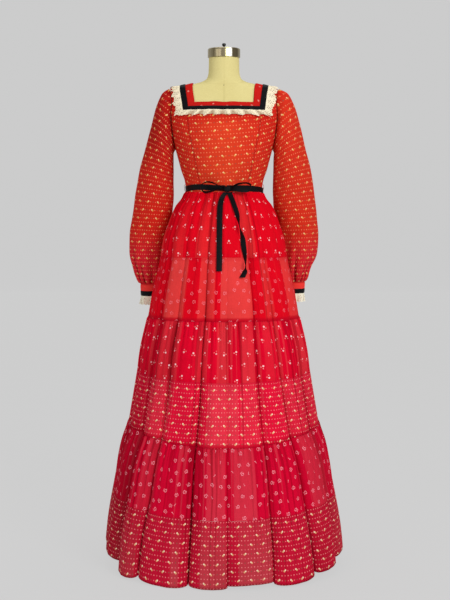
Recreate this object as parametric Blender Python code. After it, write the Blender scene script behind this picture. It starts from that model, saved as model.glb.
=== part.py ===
"""A long red prairie dress on a dress form: cut and sewn cloth pieces as thin walls, in metres.

The dress faces -Y, +X is the viewer's right, and the origin is the centre of the stand's underside.
"""

import math

import bpy
import numpy as np

# Cloth and gaps.
CLOTH = 0.0013
RIBBON = 0.001
SEAM_GAP = 0.0003
LAYER_GAP = 0.0010
BAND_LIFT = 0.0006
FORM_CLEARANCE = 0.0013

# Heights of the garment's main lines, at the centre front.
WAIST = 1.112
ARMHOLE_CENTRE = 1.325
ARMHOLE_HALF_HEIGHT = 0.088
ARMHOLE_FRONT_DEPTH = 0.030
ARMHOLE_BACK_DEPTH = 0.040
NECKLINE_FRONT = 1.374
NECKLINE_BACK = 1.398
NECKLINE_SHOULDER_X = 0.0925
NECKLINE_CORNER_X = 0.085
# How far each trim line moves down, or outwards at the corner, for each metre of trim width.
TRIM_FRONT_RATE = 0.66
TRIM_BACK_RATE = 0.9
TRIM_CORNER_RATE = 0.88

# Widths of the neckline's trims, from the opening outwards.
BAND_WIDTH = 0.022
RIBBON_WIDTH = 0.0155
LACE_WIDTH = 0.0260
RIBBON_OVERLAP = 0.0005
LACE_GAP = 0.00048
TRIM_LIFT = BAND_LIFT + CLOTH + LAYER_GAP + 0.0002
TRIM_OPENING = 0.004  # of each side's three-part path, at the centre back
NECK_LACE_WAVES = 22
NECK_LACE_LIFT = 0.004

# Skirt.
COLUMNS_PER_FOLD = 6
GATHER_DEPTH = 0.0022
GATHER_FADE = 0.045
GATHER_ONSET = 0.012
GATHER_START_SHARE = 0.25
TIER_PUFF = 0.003
TIER_PUFF_LENGTH = 0.16
CREST_POWER = 0.7
BACK_OPENING_SHARE = 0.02  # of the column beside the centre back

# Cuffs.
CUFF_AROUND = 20
CUFF_LACE_WAVES = 8
CUFF_LACE_DEPTH = 0.0022
CUFF_LACE_INSET = 0.0001
CUFF_RIBBON_LIFT = 0.0004

# Form and stand.
FORM_BOTTOM = 0.88
FORM_TOP = 1.5065
CAP_RADIUS = 0.0480
CAP_TOP = 1.5366
KNOB_TOP = 1.5489
POLE_RADIUS = 0.016
BASE_RADIUS = 0.19
BASE_THICKNESS = 0.012
BASE_CHAMFER = 0.003
FORM_AROUND = 44


def column_table(names, *rows):
    """A short table as one array for each named column."""
    return dict(zip(names.split(), np.array(rows, float).T))


# The body under the cloth: half-widths and depths of its level sections.
TORSO = column_table(
    "height half_width front back squareness",
    (0.880, 0.136, 0.092, 0.106, 0.00),
    (0.960, 0.140, 0.096, 0.110, 0.00),
    (1.040, 0.128, 0.094, 0.100, 0.00),
    (1.085, 0.1165, 0.091, 0.090, 0.00),
    (1.112, 0.1115, 0.091, 0.086, 0.00),
    (1.128, 0.1130, 0.0925, 0.086, 0.01),
    (1.147, 0.1165, 0.097, 0.087, 0.02),
    (1.176, 0.1265, 0.107, 0.089, 0.03),
    (1.206, 0.1345, 0.116, 0.093, 0.03),
    (1.237, 0.1425, 0.120, 0.097, 0.02),
    (1.262, 0.1500, 0.118, 0.100, 0.01),
    (1.295, 0.1580, 0.110, 0.103, 0.00),
    (1.325, 0.1635, 0.098, 0.104, 0.00),
    (1.350, 0.1655, 0.084, 0.102, 0.00),
    (1.375, 0.1660, 0.066, 0.096, 0.00),
    (1.395, 0.1650, 0.054, 0.085, 0.00),
    (1.4125, 0.1580, 0.0465, 0.070, 0.00),
    (1.420, 0.1370, 0.0462, 0.061, 0.00),
    (1.424, 0.1210, 0.0463, 0.057, 0.00),
    (1.430, 0.0960, 0.0465, 0.052, 0.00),
    (1.437, 0.0670, 0.0465, 0.048, 0.00),
    (1.447, 0.0515, 0.0462, 0.0462, 0.00),
    (1.465, 0.0468, 0.0458, 0.0458, 0.00),
    (1.507, 0.0458, 0.0455, 0.0455, 0.00),
)

# The line from the neckline's corner to the waist, where the princess seams run in front.
PANEL_LINE = column_table(
    "height x",
    (1.112, 0.066),
    (1.180, 0.079),
    (1.245, 0.093),
    (1.295, 0.103),
    (1.330, 0.1065),
    (1.3595, 0.1044),
)

# The skirt's outer sections at the fold crests, and the share of the folds' depth at each.
SKIRT = column_table(
    "height half_width half_depth fold_share",
    (0.010, 0.3660, 0.334, 1.00),
    (0.109, 0.3570, 0.326, 0.92),
    (0.234, 0.3350, 0.306, 0.82),
    (0.358, 0.3080, 0.282, 0.72),
    (0.411, 0.2920, 0.266, 0.66),
    (0.482, 0.2790, 0.254, 0.62),
    (0.604, 0.2570, 0.234, 0.54),
    (0.726, 0.2310, 0.211, 0.46),
    (0.814, 0.2150, 0.197, 0.40),
    (0.920, 0.1900, 0.174, 0.30),
    (0.965, 0.1830, 0.165, 0.25),
    (1.019, 0.1650, 0.147, 0.17),
    (1.069, 0.1430, 0.125, 0.08),
    (1.092, 0.1240, 0.1060, 0.02),
    (1.112, 0.1140, 0.0937, 0.00),
)

# The valleys between the skirt's folds: angle from the front at the waist and hem, and hem depth.
FOLDS = column_table(
    "top_angle hem_angle depth",
    (-86, -84, 0.026),
    (-60, -57, 0.034),
    (-37, -41, 0.028),
    (-14, -17, 0.034),
    (3, 2, 0.020),
    (24, 22.5, 0.036),
    (38, 45, 0.030),
    (62, 63, 0.026),
    (86, 87, 0.028),
    (113, 112, 0.034),
    (138, 140, 0.030),
    (166, 165, 0.034),
    (194, 196, 0.030),
    (221, 220, 0.036),
    (248, 249, 0.028),
)

# The skirt's strips: the height of each lower edge in front, how much it rises at the sides,
# whether the strip is gathered along its top, and where its rings lie from top to bottom.
STRIPS = (
    ("skirt_strip_1_scatter", 0.925, -0.006, True, (0.0, 0.10, 0.27, 0.52, 1.0)),
    ("skirt_strip_2_rings", 0.744, -0.006, False, (0.0, 1.0)),
    ("skirt_strip_3_scatter", 0.571, 0.005, True, (0.0, 0.12, 1.0)),
    ("skirt_strip_4_dots", 0.390, 0.030, False, (0.0, 1.0)),
    ("skirt_strip_5_rings", 0.193, 0.022, True, (0.0, 0.12, 1.0)),
    ("skirt_strip_6_dots", 0.011, 0.034, False, (0.0, 1.0)),
)

# The sleeves' sections: outer and inner edge seen from the front, then middle and half-depth.
SLEEVE_COLUMNS = "outer_x outer_z inner_x inner_z middle_y half_depth"
SLEEVE_ROWS = {
    "left": (
        (0.1800, 1.404, 0.1500, 1.226, 0.004, 0.052),
        (0.2000, 1.366, 0.1505, 1.212, 0.006, 0.056),
        (0.2170, 1.307, 0.1505, 1.192, 0.010, 0.058),
        (0.2380, 1.236, 0.1495, 1.160, 0.020, 0.057),
        (0.2550, 1.177, 0.1500, 1.120, 0.031, 0.056),
        (0.2660, 1.117, 0.1530, 1.082, 0.044, 0.054),
        (0.2760, 1.045, 0.1590, 1.030, 0.061, 0.053),
        (0.2890, 0.980, 0.1680, 0.972, 0.080, 0.052),
        (0.2925, 0.920, 0.1750, 0.918, 0.095, 0.050),
        (0.2860, 0.868, 0.1830, 0.868, 0.107, 0.047),
        (0.2720, 0.840, 0.1910, 0.840, 0.114, 0.040),
        (0.2590, 0.8270, 0.2020, 0.8270, 0.1170, 0.0285),
    ),
    "right": (
        (0.1860, 1.404, 0.1490, 1.226, 0.004, 0.053),
        (0.2080, 1.366, 0.1480, 1.211, 0.006, 0.058),
        (0.2260, 1.307, 0.1475, 1.190, 0.010, 0.061),
        (0.2450, 1.236, 0.1465, 1.156, 0.020, 0.060),
        (0.2610, 1.177, 0.1460, 1.116, 0.033, 0.059),
        (0.2720, 1.117, 0.1480, 1.078, 0.048, 0.056),
        (0.2820, 1.045, 0.1560, 1.028, 0.066, 0.054),
        (0.2900, 0.980, 0.1650, 0.972, 0.084, 0.052),
        (0.2880, 0.920, 0.1700, 0.918, 0.098, 0.050),
        (0.2740, 0.872, 0.1760, 0.872, 0.109, 0.047),
        (0.2620, 0.846, 0.1840, 0.846, 0.115, 0.040),
        (0.2505, 0.8330, 0.1935, 0.8330, 0.1170, 0.0285),
    ),
}
SLEEVE_AROUND = 20
CAP_GATHER_DEPTH = 0.0018
WRIST_GATHER_DEPTH = 0.0024
CUFF_SEAM_GATHER_DEPTH = 0.0004
GATHER_RADIUS = 0.04  # the sleeve's radius for which the gather depths are true

# Each cuff: x, y, z and radius of the band's top and bottom, then of the lace's lower edge.
CUFF_ROWS = {
    "left": (
        (0.2305, 0.1170, 0.8266, 0.0288),
        (0.2290, 0.1200, 0.7900, 0.0284),
        (0.2315, 0.1230, 0.7620, 0.0310),
    ),
    "right": (
        (0.2220, 0.1170, 0.8326, 0.0288),
        (0.2200, 0.1200, 0.7985, 0.0284),
        (0.2205, 0.1230, 0.7710, 0.0305),
    ),
}
CUFF_RIBBON_SHARE = 0.42

# Belt and bow.
BELT_WIDTH = 0.017
BELT_FRONT = 1.1235
BELT_SIDE_DROP = 0.0005
BELT_AROUND = 48
BELT_OPEN_ANGLE = 4.0
CARRIER_MARGIN = 0.0018
CARRIER_REACH = 0.0022
CARRIER_THICKNESS = 0.001
CARRIER_HALF_TURN = 0.45  # degrees round the waist
KNOT_X = 0.010
KNOT_Z = 1.1205
KNOT_SIZE = (0.017, 0.010, 0.018)
# The knot's outlines from back to front: share of its depth and of its width and height.
KNOT_OUTLINES = ((0.0, 0.80), (0.35, 1.0), (0.75, 0.92), (1.0, 0.62))
KNOT_SIDES = 12
# Loops' middle lines from the knot out and back: place seen from the front, reach forward, how far
# the ribbon is turned from edge-on to facing forward, and its gathered width.
LOOP_COLUMNS = "x z forward turn width"
LOOP_ROWS = {
    "right": (
        (0.0192, 1.1235, 0.000, 30, 0.0080),
        (0.0350, 1.1330, 0.004, 30, 0.0120),
        (0.0550, 1.1380, 0.008, 20, 0.0140),
        (0.0700, 1.1370, 0.010, 15, 0.0150),
        (0.0795, 1.1290, 0.011, 35, 0.0155),
        (0.0700, 1.1190, 0.012, 65, 0.0160),
        (0.0550, 1.1175, 0.012, 75, 0.0165),
        (0.0360, 1.1190, 0.008, 65, 0.0130),
        (0.0192, 1.1180, 0.000, 45, 0.0080),
    ),
    "left": (
        (0.0008, 1.1235, 0.000, 20, 0.0080),
        (-0.0120, 1.1290, 0.003, 12, 0.0100),
        (-0.0340, 1.1390, 0.008, 8, 0.0120),
        (-0.0500, 1.1410, 0.010, 8, 0.0140),
        (-0.0640, 1.1350, 0.010, 8, 0.0150),
        (-0.0675, 1.1240, 0.010, 10, 0.0150),
        (-0.0580, 1.1120, 0.010, 15, 0.0150),
        (-0.0420, 1.1130, 0.009, 15, 0.0140),
        (-0.0200, 1.1180, 0.006, 18, 0.0110),
        (0.0008, 1.1180, 0.000, 20, 0.0080),
    ),
}
# Tails from the knot down over the skirt: middle, how far each is turned from facing forward, and
# how far it stands off the skirt.
TAIL_COLUMNS = "x z turn forward"
TAIL_ROWS = {
    "left": (
        (0.0045, 1.1110, 30, 0.000),
        (-0.0075, 1.0900, 20, 0.000),
        (-0.0120, 1.0600, 0, 0.000),
        (-0.0128, 1.0000, 0, 0.000),
        (-0.0132, 0.9400, 0, 0.000),
        (-0.0138, 0.8870, 0, 0.000),
    ),
    "right": (
        (0.0150, 1.1110, -20, 0.0045),
        (0.0260, 1.0845, -25, 0.002),
        (0.0377, 1.0495, -35, 0.000),
        (0.0445, 1.0150, -80, 0.000),
        (0.0535, 0.9830, -40, 0.000),
        (0.0560, 0.9600, -20, 0.000),
        (0.0600, 0.9300, -50, 0.000),
        (0.0618, 0.9000, -80, 0.000),
        (0.0600, 0.8850, -35, 0.000),
        (0.0520, 0.8690, -10, 0.000),
    ),
}
TAIL_WIDTH = 0.0165
TAIL_CLEARANCE = 0.0045
TAIL_BEHIND_KNOT = 0.004

# Zip: the slider at the top of the centre back opening, with two lugs, and its pull tab, whose round
# barrel turns between them.
ZIP_TOP = 1.392
SLIDER_SIZE = (0.0064, 0.0030, 0.0090)
LUG_INNER_X = 0.0020
LUG_OUTER_X = 0.0028
LUG_HALF_HEIGHT = 0.0009
LUG_REACH = 0.0021
BARREL_RADIUS = 0.0009
BARREL_HALF_WIDTH = 0.0017
PULL_LENGTH = 0.022
PULL_HALF_WIDTH = 0.0028
PULL_NECK = 0.003
PULL_THICKNESS = 0.0010


def smooth_curve(at, knots, values):
    """A curve through the values at the knots that never overshoots between them."""
    step = np.diff(knots)
    slope = np.diff(values) / step
    tangent = np.empty_like(values)
    tangent[0] = slope[0]
    tangent[-1] = slope[-1]
    before = slope[:-1]
    after = slope[1:]
    same = before * after > 0
    both = np.where(same, before + after, 1.0)
    tangent[1:-1] = np.where(same, 2 * before * after / both, 0.0)
    at = np.clip(at, knots[0], knots[-1])
    i = np.clip(np.searchsorted(knots, at) - 1, 0, len(step) - 1)
    t = (at - knots[i]) / step[i]
    return (
        values[i] * (1 + 2 * t) * (1 - t) ** 2
        + tangent[i] * step[i] * t * (1 - t) ** 2
        + values[i + 1] * t * t * (3 - 2 * t)
        - tangent[i + 1] * step[i] * t * t * (1 - t)
    )


def read(table, column, at):
    """A column's smooth value at a height."""
    return smooth_curve(np.asarray(at, float), table["height"], table[column])


def unit(vectors):
    return vectors / np.linalg.norm(vectors, axis=-1, keepdims=True)


# The body's surface.


def torso_ring(angle, height):
    """The body at an angle from the front, towards +X, and a height."""
    bulge = 1 + read(TORSO, "squareness", height) * np.sin(2 * angle) ** 2
    depth = np.where(np.cos(angle) > 0, read(TORSO, "front", height), read(TORSO, "back", height))
    x = read(TORSO, "half_width", height) * np.sin(angle) * bulge
    y = -depth * np.cos(angle) * bulge
    return np.stack([x, y, np.broadcast_to(height, x.shape)], -1)


def on_torso(angle, height, lift=0.0):
    """A point lifted off the body's surface along its normal."""
    angle, height = np.broadcast_arrays(np.asarray(angle, float), np.asarray(height, float))
    step = 1e-4
    along = torso_ring(angle + step, height) - torso_ring(angle - step, height)
    up = torso_ring(angle, height + step) - torso_ring(angle, height - step)
    lift = np.asarray(lift, float)
    return torso_ring(angle, height) + unit(np.cross(along, up)) * lift[..., None]


def torso_angle(x, height):
    """The angle, on the front half, at which a level section reaches a distance from the middle."""
    ratio = np.clip(x / read(TORSO, "half_width", height), -1, 1)
    angle = np.arcsin(ratio)
    for _ in range(12):
        bulge = 1 + read(TORSO, "squareness", height) * np.sin(2 * angle) ** 2
        angle = np.arcsin(np.clip(ratio / bulge, -1, 1))
    return angle


RIDGE_LOWEST = 1.375
RIDGE_HIGHEST = 1.447
RIDGE_HEIGHTS = np.linspace(RIDGE_LOWEST, RIDGE_HIGHEST, 400)
RIDGE_WIDTHS = read(TORSO, "half_width", RIDGE_HEIGHTS)


def ridge_height(x):
    """The shoulder's top line: its height at a distance from the middle."""
    return np.interp(-np.abs(x), -RIDGE_WIDTHS, RIDGE_HEIGHTS)


# Meshes.


def finish(name, colour, roughness, metallic=0.0):
    material = bpy.data.materials.new(name)
    material.use_nodes = True
    shader = material.node_tree.nodes["Principled BSDF"]
    shader.inputs["Base Color"].default_value = (*colour, 1)
    shader.inputs["Roughness"].default_value = roughness
    shader.inputs["Metallic"].default_value = metallic
    return material


def solid(name, points, faces, material):
    """An object from points and faces, with its faces turned outwards and its spare points dropped."""
    points = np.asarray(points, float)
    triangles = np.array([(f[0], f[i], f[i + 1]) for f in faces for i in range(1, len(f) - 1)])
    corners = points[triangles]
    volume = np.einsum("ij,ij->i", corners[:, 0], np.cross(corners[:, 1], corners[:, 2])).sum()
    if volume < 0:
        faces = [tuple(reversed(f)) for f in faces]
    used, place = np.unique(np.concatenate([np.array(f) for f in faces]), return_inverse=True)
    places = iter(place.reshape(-1).tolist())
    faces = [[next(places) for _ in f] for f in faces]
    mesh = bpy.data.meshes.new(name)
    mesh.from_pydata(points[used].tolist(), [], faces)
    mesh.materials.append(material)
    mesh.shade_smooth()
    mesh.set_sharp_from_angle(angle=math.radians(40))
    thing = bpy.data.objects.new(name, mesh)
    bpy.context.collection.objects.link(thing)
    return thing


def wall(name, outer, inner, material, closed=False, cells=None):
    """A cloth wall between two grids of points, by column and row, over the cells that hold cloth."""
    columns, rows = outer.shape[:2]
    spans = columns if closed else columns - 1
    if cells is None:
        cells = np.ones((spans, rows - 1), bool)
    back = columns * rows

    def at(i, j):
        return (i % columns) * rows + j

    def filled(i, j):
        if closed:
            i %= columns
        return 0 <= i < spans and 0 <= j < rows - 1 and cells[i, j]

    faces = []
    for i in range(spans):
        for j in range(rows - 1):
            if not cells[i, j]:
                continue
            a, b, c, d = at(i, j), at(i + 1, j), at(i + 1, j + 1), at(i, j + 1)
            faces += [(a, b, c), (a, c, d)]
            faces += [(back + a, back + c, back + b), (back + a, back + d, back + c)]
            sides = ((a, b, i, j - 1), (b, c, i + 1, j), (c, d, i, j + 1), (d, a, i - 1, j))
            for start, end, beside_i, beside_j in sides:
                if not filled(beside_i, beside_j):
                    faces.append((end, start, back + start, back + end))
    points = np.concatenate([outer.reshape(-1, 3), inner.reshape(-1, 3)])
    return solid(name, points, faces, material)


def grid_normals(points, closed):
    """The outward side of a grid of points by column and row, from its neighbours."""
    if closed:
        along = np.roll(points, -1, 0) - np.roll(points, 1, 0)
    else:
        along = np.gradient(points, axis=0)
    return unit(np.cross(along, np.gradient(points, axis=1)))


def stacked_faces(rings, sides):
    """Faces of a solid whose points are outlines stacked one after the other, with both ends closed."""
    last = (rings - 1) * sides
    faces = [tuple(range(sides)), tuple(range(last, last + sides))[::-1]]
    for k in range(rings - 1):
        for i in range(sides):
            j = (i + 1) % sides
            faces.append((k * sides + i, (k + 1) * sides + i, (k + 1) * sides + j, k * sides + j))
    return faces


def turned(name, profile, sides, material):
    """A solid turned about the upright axis, from its outline of radius and height, bottom to top."""
    turns = [(math.cos(a), math.sin(a)) for a in np.arange(sides) * 2 * math.pi / sides]
    points = [(radius * c, radius * s, height) for radius, height in profile for c, s in turns]
    return solid(name, points, stacked_faces(len(profile), sides), material)


# Bodice.

SIDES = ((-1, "left"), (1, "right"))
# Radii of the body where the centre back and the princess seams turn a gap into an angle.
BACK_SEAM_RADIUS = 0.09
PRINCESS_SEAM_RADIUS = 0.12
# The nearest that a row may lie to the row at a trim's edge, in front and behind.
FRONT_ROW_SPACE = 0.004
BACK_ROW_SPACE = 0.006
FRONT_COLUMNS = 5
SIDE_FRONT_COLUMNS = 6
BACK_COLUMNS = 5
ROWS_UP = np.array([WAIST, 1.128, 1.147, 1.177, 1.207])
ARMHOLE_TURNS = np.radians([0, 24, 48, 74, 100, 122, 139, 157, 175])
ROWS_ARMHOLE = ARMHOLE_CENTRE - ARMHOLE_HALF_HEIGHT * np.cos(ARMHOLE_TURNS)
ROWS_SHOULDER = np.array([1.4185, 1.4235])


def armhole_angle(height, back):
    """The angle of the armhole's edge, or of the side and shoulder seams below and above it."""
    turn = np.clip((height - ARMHOLE_CENTRE) / ARMHOLE_HALF_HEIGHT, -1, 1)
    reach = np.sqrt(1 - turn * turn)
    if back:
        y = ARMHOLE_BACK_DEPTH * reach
        depth = read(TORSO, "back", height)
    else:
        y = ARMHOLE_FRONT_DEPTH * reach
        depth = read(TORSO, "front", height)
    gap = SEAM_GAP / 2 / depth
    angle = math.pi / 2 - np.arcsin(y / depth) - gap
    return math.pi - angle if back else angle


def trim_line(width, end_height):
    """The line beside the neckline at a width from its edge, from the corner up to the shoulder."""
    q = np.linspace(1, 0, 60)
    x = trim_x(width, q)
    z = ridge_height(x) - (ridge_height(x) - end_height) * q * q
    return x, z


def trim_x(width, q):
    top = NECKLINE_SHOULDER_X + width
    corner = NECKLINE_CORNER_X + TRIM_CORNER_RATE * width
    return top + (corner - top) * q * q


def front_edge(width):
    return NECKLINE_FRONT - TRIM_FRONT_RATE * width


def back_edge(width):
    return NECKLINE_BACK - TRIM_BACK_RATE * width


def panel_line_angle(height, back):
    """The angle of the princess line, and above the neckline's corner of the band's outer side."""
    width = BAND_WIDTH + SEAM_GAP / 2
    end = back_edge(width) if back else front_edge(width)
    x_side, z_side = trim_line(width, end)
    x = np.where(height > end, np.interp(height, z_side, x_side), read(PANEL_LINE, "x", height))
    angle = torso_angle(x, height)
    return math.pi - angle if back else angle


def bodice_grid(columns_in, columns_out, heights, back):
    """Angles of a half panel's columns, from the centre to the panel line and on to the outer edge."""
    gap = SEAM_GAP / BACK_SEAM_RADIUS
    centre = np.full_like(heights, math.pi - gap if back else 0.0)
    line = panel_line_angle(heights, back)
    edge = armhole_angle(heights, back)
    inner = [centre + (line - centre) * k / columns_in for k in range(columns_in + 1)]
    outer = [line + (edge - line) * k / columns_out for k in range(columns_out + 1)]
    return np.array(inner), np.array(outer)


def torso_wall(name, angles, heights, material, side=1, cells=None):
    """A panel lying on the body, or its mirror image for the other side."""
    heights = np.broadcast_to(heights, angles.shape)
    outer = on_torso(angles, heights, np.full(angles.shape, CLOTH))
    inner = on_torso(angles, heights, np.zeros(angles.shape))
    outer[..., 0] *= side
    inner[..., 0] *= side
    return wall(name, outer, inner, material, cells=cells)


def build_bodice(cloth):
    lowest = ROWS_UP.copy()
    lowest[0] += SEAM_GAP / 2
    heights = np.concatenate([lowest, ROWS_ARMHOLE, ROWS_SHOULDER])
    band_edge = front_edge(BAND_WIDTH + SEAM_GAP / 2)
    heights_front = np.concatenate([heights[heights < band_edge - FRONT_ROW_SPACE], [band_edge]])
    seam = SEAM_GAP / 2 / PRINCESS_SEAM_RADIUS
    half, _ = bodice_grid(FRONT_COLUMNS, SIDE_FRONT_COLUMNS, heights_front, False)
    half = half * (1 - seam / half[-1])
    torso_wall("bodice_front", np.concatenate([-half[:0:-1], half]), heights_front, cloth)
    _, outer = bodice_grid(FRONT_COLUMNS, SIDE_FRONT_COLUMNS, heights, False)
    outer[0] += seam
    band_edge = back_edge(BAND_WIDTH + SEAM_GAP / 2)
    apart = np.abs(heights - band_edge) > BACK_ROW_SPACE
    heights_back = np.sort(np.concatenate([heights[apart], [band_edge]]))
    inner_back, outer_back = bodice_grid(BACK_COLUMNS, BACK_COLUMNS, heights_back, True)
    back = np.concatenate([inner_back, outer_back[1:]])
    cells = np.ones((len(back) - 1, len(heights_back) - 1), bool)
    cells[:BACK_COLUMNS, heights_back[:-1] >= band_edge] = False
    for side, word in SIDES:
        torso_wall(f"bodice_side_front_{word}", outer, heights, cloth, side)
        torso_wall(f"bodice_back_{word}", back, heights_back, cloth, side, cells)


# Neckline trims.


def trim_point(s, width):
    """Angle and height on a trim: s runs -3 to 3 from centre back over the left shoulder and round."""
    s, width = np.broadcast_arrays(np.asarray(s, float), np.asarray(width, float))
    side = np.sign(s)
    place = np.abs(s)
    q = np.clip(3 - 2 * place, -1, 1)
    front = place <= 1.5
    end = np.where(front, front_edge(width), back_edge(width))
    across = trim_x(width, q)
    x = np.where(place < 1, across * place, np.where(place > 2, across * (3 - place), across))
    ridge = ridge_height(x)
    height = np.where((place < 1) | (place > 2), end, ridge - (ridge - end) * q * q)
    angle = np.arcsin(np.clip(x / read(TORSO, "half_width", height), -1, 1))
    angle = np.where(front, angle, math.pi - angle)
    return angle * np.where(side == 0, 1, side), height


def trim_path(front_steps, side_steps, back_steps, gap):
    """The steps along a trim from one side of the centre back opening to the other."""
    back = np.linspace(3 - gap, 2, back_steps + 1)
    shoulder = np.linspace(2, 1, side_steps + 1)
    front = np.linspace(1, 0, front_steps // 2 + 1)
    half = np.concatenate([back[:-1], shoulder[:-1], front])
    return np.concatenate([-half, half[-2::-1]])


def trim_wall(name, path, widths, material, low, thick, lifts=None):
    angles, heights = trim_point(path[:, None], np.asarray(widths)[None, :])
    lift = np.full(angles.shape, low) if lifts is None else low + lifts
    outer = on_torso(angles, heights, lift + thick)
    inner = on_torso(angles, heights, lift)
    return wall(name, outer, inner, material)


def build_neckline(cloth, ribbon, lace):
    path = trim_path(12, 18, 5, TRIM_OPENING)
    trim_wall("neck_band", path, (0.0, BAND_WIDTH - SEAM_GAP / 2), cloth, BAND_LIFT, CLOTH)
    end = BAND_WIDTH + RIBBON_WIDTH
    trim_wall("neck_ribbon", path, (BAND_WIDTH - RIBBON_OVERLAP, end), ribbon, TRIM_LIFT, RIBBON)
    fine = trim_path(22, 22, 11, TRIM_OPENING)
    edges = (end + LACE_GAP, end + LACE_WIDTH)
    waves = np.sin(np.linspace(0, NECK_LACE_WAVES * math.pi, len(fine))) ** 2
    lifts = np.stack([np.zeros(len(fine)), waves], 1) * NECK_LACE_LIFT
    trim_wall("neck_lace", fine, edges, lace, TRIM_LIFT, RIBBON, lifts)


# Skirt.


def skirt_angles():
    """Each column's angle at the waist and the hem, and how deep it lies in its fold there."""
    count = len(FOLDS["depth"])
    t = np.arange(COLUMNS_PER_FOLD) / COLUMNS_PER_FOLD
    top, hem, depth = [], [], []
    for i in range(count):
        j = (i + 1) % count
        turn = 360 if j == 0 else 0
        top.append(FOLDS["top_angle"][i] + (FOLDS["top_angle"][j] + turn - FOLDS["top_angle"][i]) * t)
        hem.append(FOLDS["hem_angle"][i] + (FOLDS["hem_angle"][j] + turn - FOLDS["hem_angle"][i]) * t)
        valley = FOLDS["depth"][i] * (1 - t) + FOLDS["depth"][j] * t
        depth.append(valley * (1 - np.sin(math.pi * t) ** CREST_POWER))
    return np.radians(np.concatenate(top)), np.radians(np.concatenate(hem)), np.concatenate(depth)


def skirt_points(heights, gather, puff):
    """The skirt's outer points, by column and row, at a grid of heights; gather ripples the columns."""
    top, hem, depth = skirt_angles()
    share = np.clip((WAIST - heights) / WAIST, 0, 1)
    angle = top[:, None] + (hem - top)[:, None] * share
    fold = depth[:, None] * read(SKIRT, "fold_share", heights)
    ripple = gather * np.where(np.arange(len(top)) % 2, -1, 1)[:, None]
    shrink = fold + ripple - puff
    x = (read(SKIRT, "half_width", heights) - shrink) * np.sin(angle)
    y = -(read(SKIRT, "half_depth", heights) - shrink) * np.cos(angle)
    return np.stack([x, y, heights], -1)


def seam_heights(front, rise):
    """A seam's height at each column: the sides rise above the front and the back."""
    _, hem, _ = skirt_angles()
    return front + rise * np.sin(hem) ** 2


def build_skirt(cloths):
    upper_front = WAIST
    upper_rise = 0.0
    for (name, front, rise, gathered, rings), cloth in zip(STRIPS, cloths):
        upper = seam_heights(upper_front, upper_rise) - SEAM_GAP / 2
        lower = seam_heights(front, rise) + SEAM_GAP / 2
        share = np.array(rings)[None, ::-1]
        heights = upper[:, None] + (lower - upper)[:, None] * share
        below = upper[:, None] - heights
        gather = np.zeros(heights.shape)
        puff = np.zeros(heights.shape)
        if gathered:
            onset = np.clip(below / GATHER_ONSET, GATHER_START_SHARE, 1)
            gather = GATHER_DEPTH * np.exp(-below / GATHER_FADE) * onset
            gather = np.where(share == 1, 0, gather)
        if gathered and upper_front < WAIST:
            puff = TIER_PUFF * np.sin(math.pi * np.clip(below / TIER_PUFF_LENGTH, 0, 1))
        outer = skirt_points(heights, gather, puff)
        inner = outer - grid_normals(outer, True) * CLOTH
        inner[..., 2] = outer[..., 2]
        if upper_front == WAIST:
            outer, inner = open_at_back(outer), open_at_back(inner)
            wall(name, outer, inner, cloth)
        else:
            wall(name, outer, inner, cloth, closed=True)
        upper_front = front
        upper_rise = rise


def open_at_back(ring):
    """A ring of columns opened at the centre back, with a narrow gap for the zip."""
    back = int(np.argmax(ring[:, 0, 1]))
    turned_ring = np.roll(ring, -back, axis=0)
    opened = np.concatenate([turned_ring, turned_ring[:1]])
    opened[0] += (opened[1] - opened[0]) * BACK_OPENING_SHARE
    opened[-1] += (opened[-2] - opened[-1]) * BACK_OPENING_SHARE
    return opened


# Sleeves and cuffs.


def sleeve_rings(word, side):
    """The sleeve's sections from the armhole's edge to the cuff, by angle from the outer edge."""
    table = column_table(SLEEVE_COLUMNS, *SLEEVE_ROWS[word])
    turn = np.arange(SLEEVE_AROUND) * 2 * math.pi / SLEEVE_AROUND
    lift, forward = np.cos(turn), np.sin(turn)
    height = ARMHOLE_CENTRE + ARMHOLE_HALF_HEIGHT * lift
    front_angle = armhole_angle(height, False)
    back_angle = armhole_angle(height, True)
    angle = np.where(forward >= 0, front_angle, back_angle)
    ring = on_torso(angle, height, np.full(angle.shape, CLOTH + LAYER_GAP))
    rings = [ring]
    ripple = np.where(np.arange(SLEEVE_AROUND) % 2, -1, 1)
    last = len(table["outer_x"]) - 1
    for k in range(last + 1):
        outer = np.array([table["outer_x"][k], 0, table["outer_z"][k]])
        inner = np.array([table["inner_x"][k], 0, table["inner_z"][k]])
        gather = np.zeros(SLEEVE_AROUND)
        if k == 0:
            gather = CAP_GATHER_DEPTH * np.clip(lift, 0, 1)
        if k == last - 1:
            gather = np.full(SLEEVE_AROUND, WRIST_GATHER_DEPTH)
        if k == last:
            gather = np.full(SLEEVE_AROUND, CUFF_SEAM_GATHER_DEPTH)
        swell = 1 + ripple * gather / GATHER_RADIUS
        middle = (outer + inner) / 2 + np.array([0, table["middle_y"][k], 0])
        across = (outer - inner) / 2 * (lift * swell)[:, None]
        depth = np.array([0, -table["half_depth"][k], 0]) * (forward * swell)[:, None]
        rings.append(middle + across + depth)
    points = np.stack(rings, 1)
    points[..., 0] *= side
    return points


def build_sleeve(word, side, cloth):
    outer = sleeve_rings(word, side)
    normals = grid_normals(outer, True) * side
    inner = outer - normals * CLOTH
    inner[:, 0] = outer[:, 0] - unit((outer[:, 0] - outer[:, 0].mean(0)) * np.array([0, 1, 1])) * CLOTH
    inner[:, -1, 2] = outer[:, -1, 2]
    wall(f"sleeve_{word}", outer, inner, cloth, closed=True)


def cuff_ring(row, side, radii):
    turn = np.arange(len(radii)) * 2 * math.pi / len(radii)
    x = side * row[0] + radii * np.cos(turn)
    y = row[1] + radii * np.sin(turn)
    return np.stack([x, y, np.full(len(radii), row[2])], -1)


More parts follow.
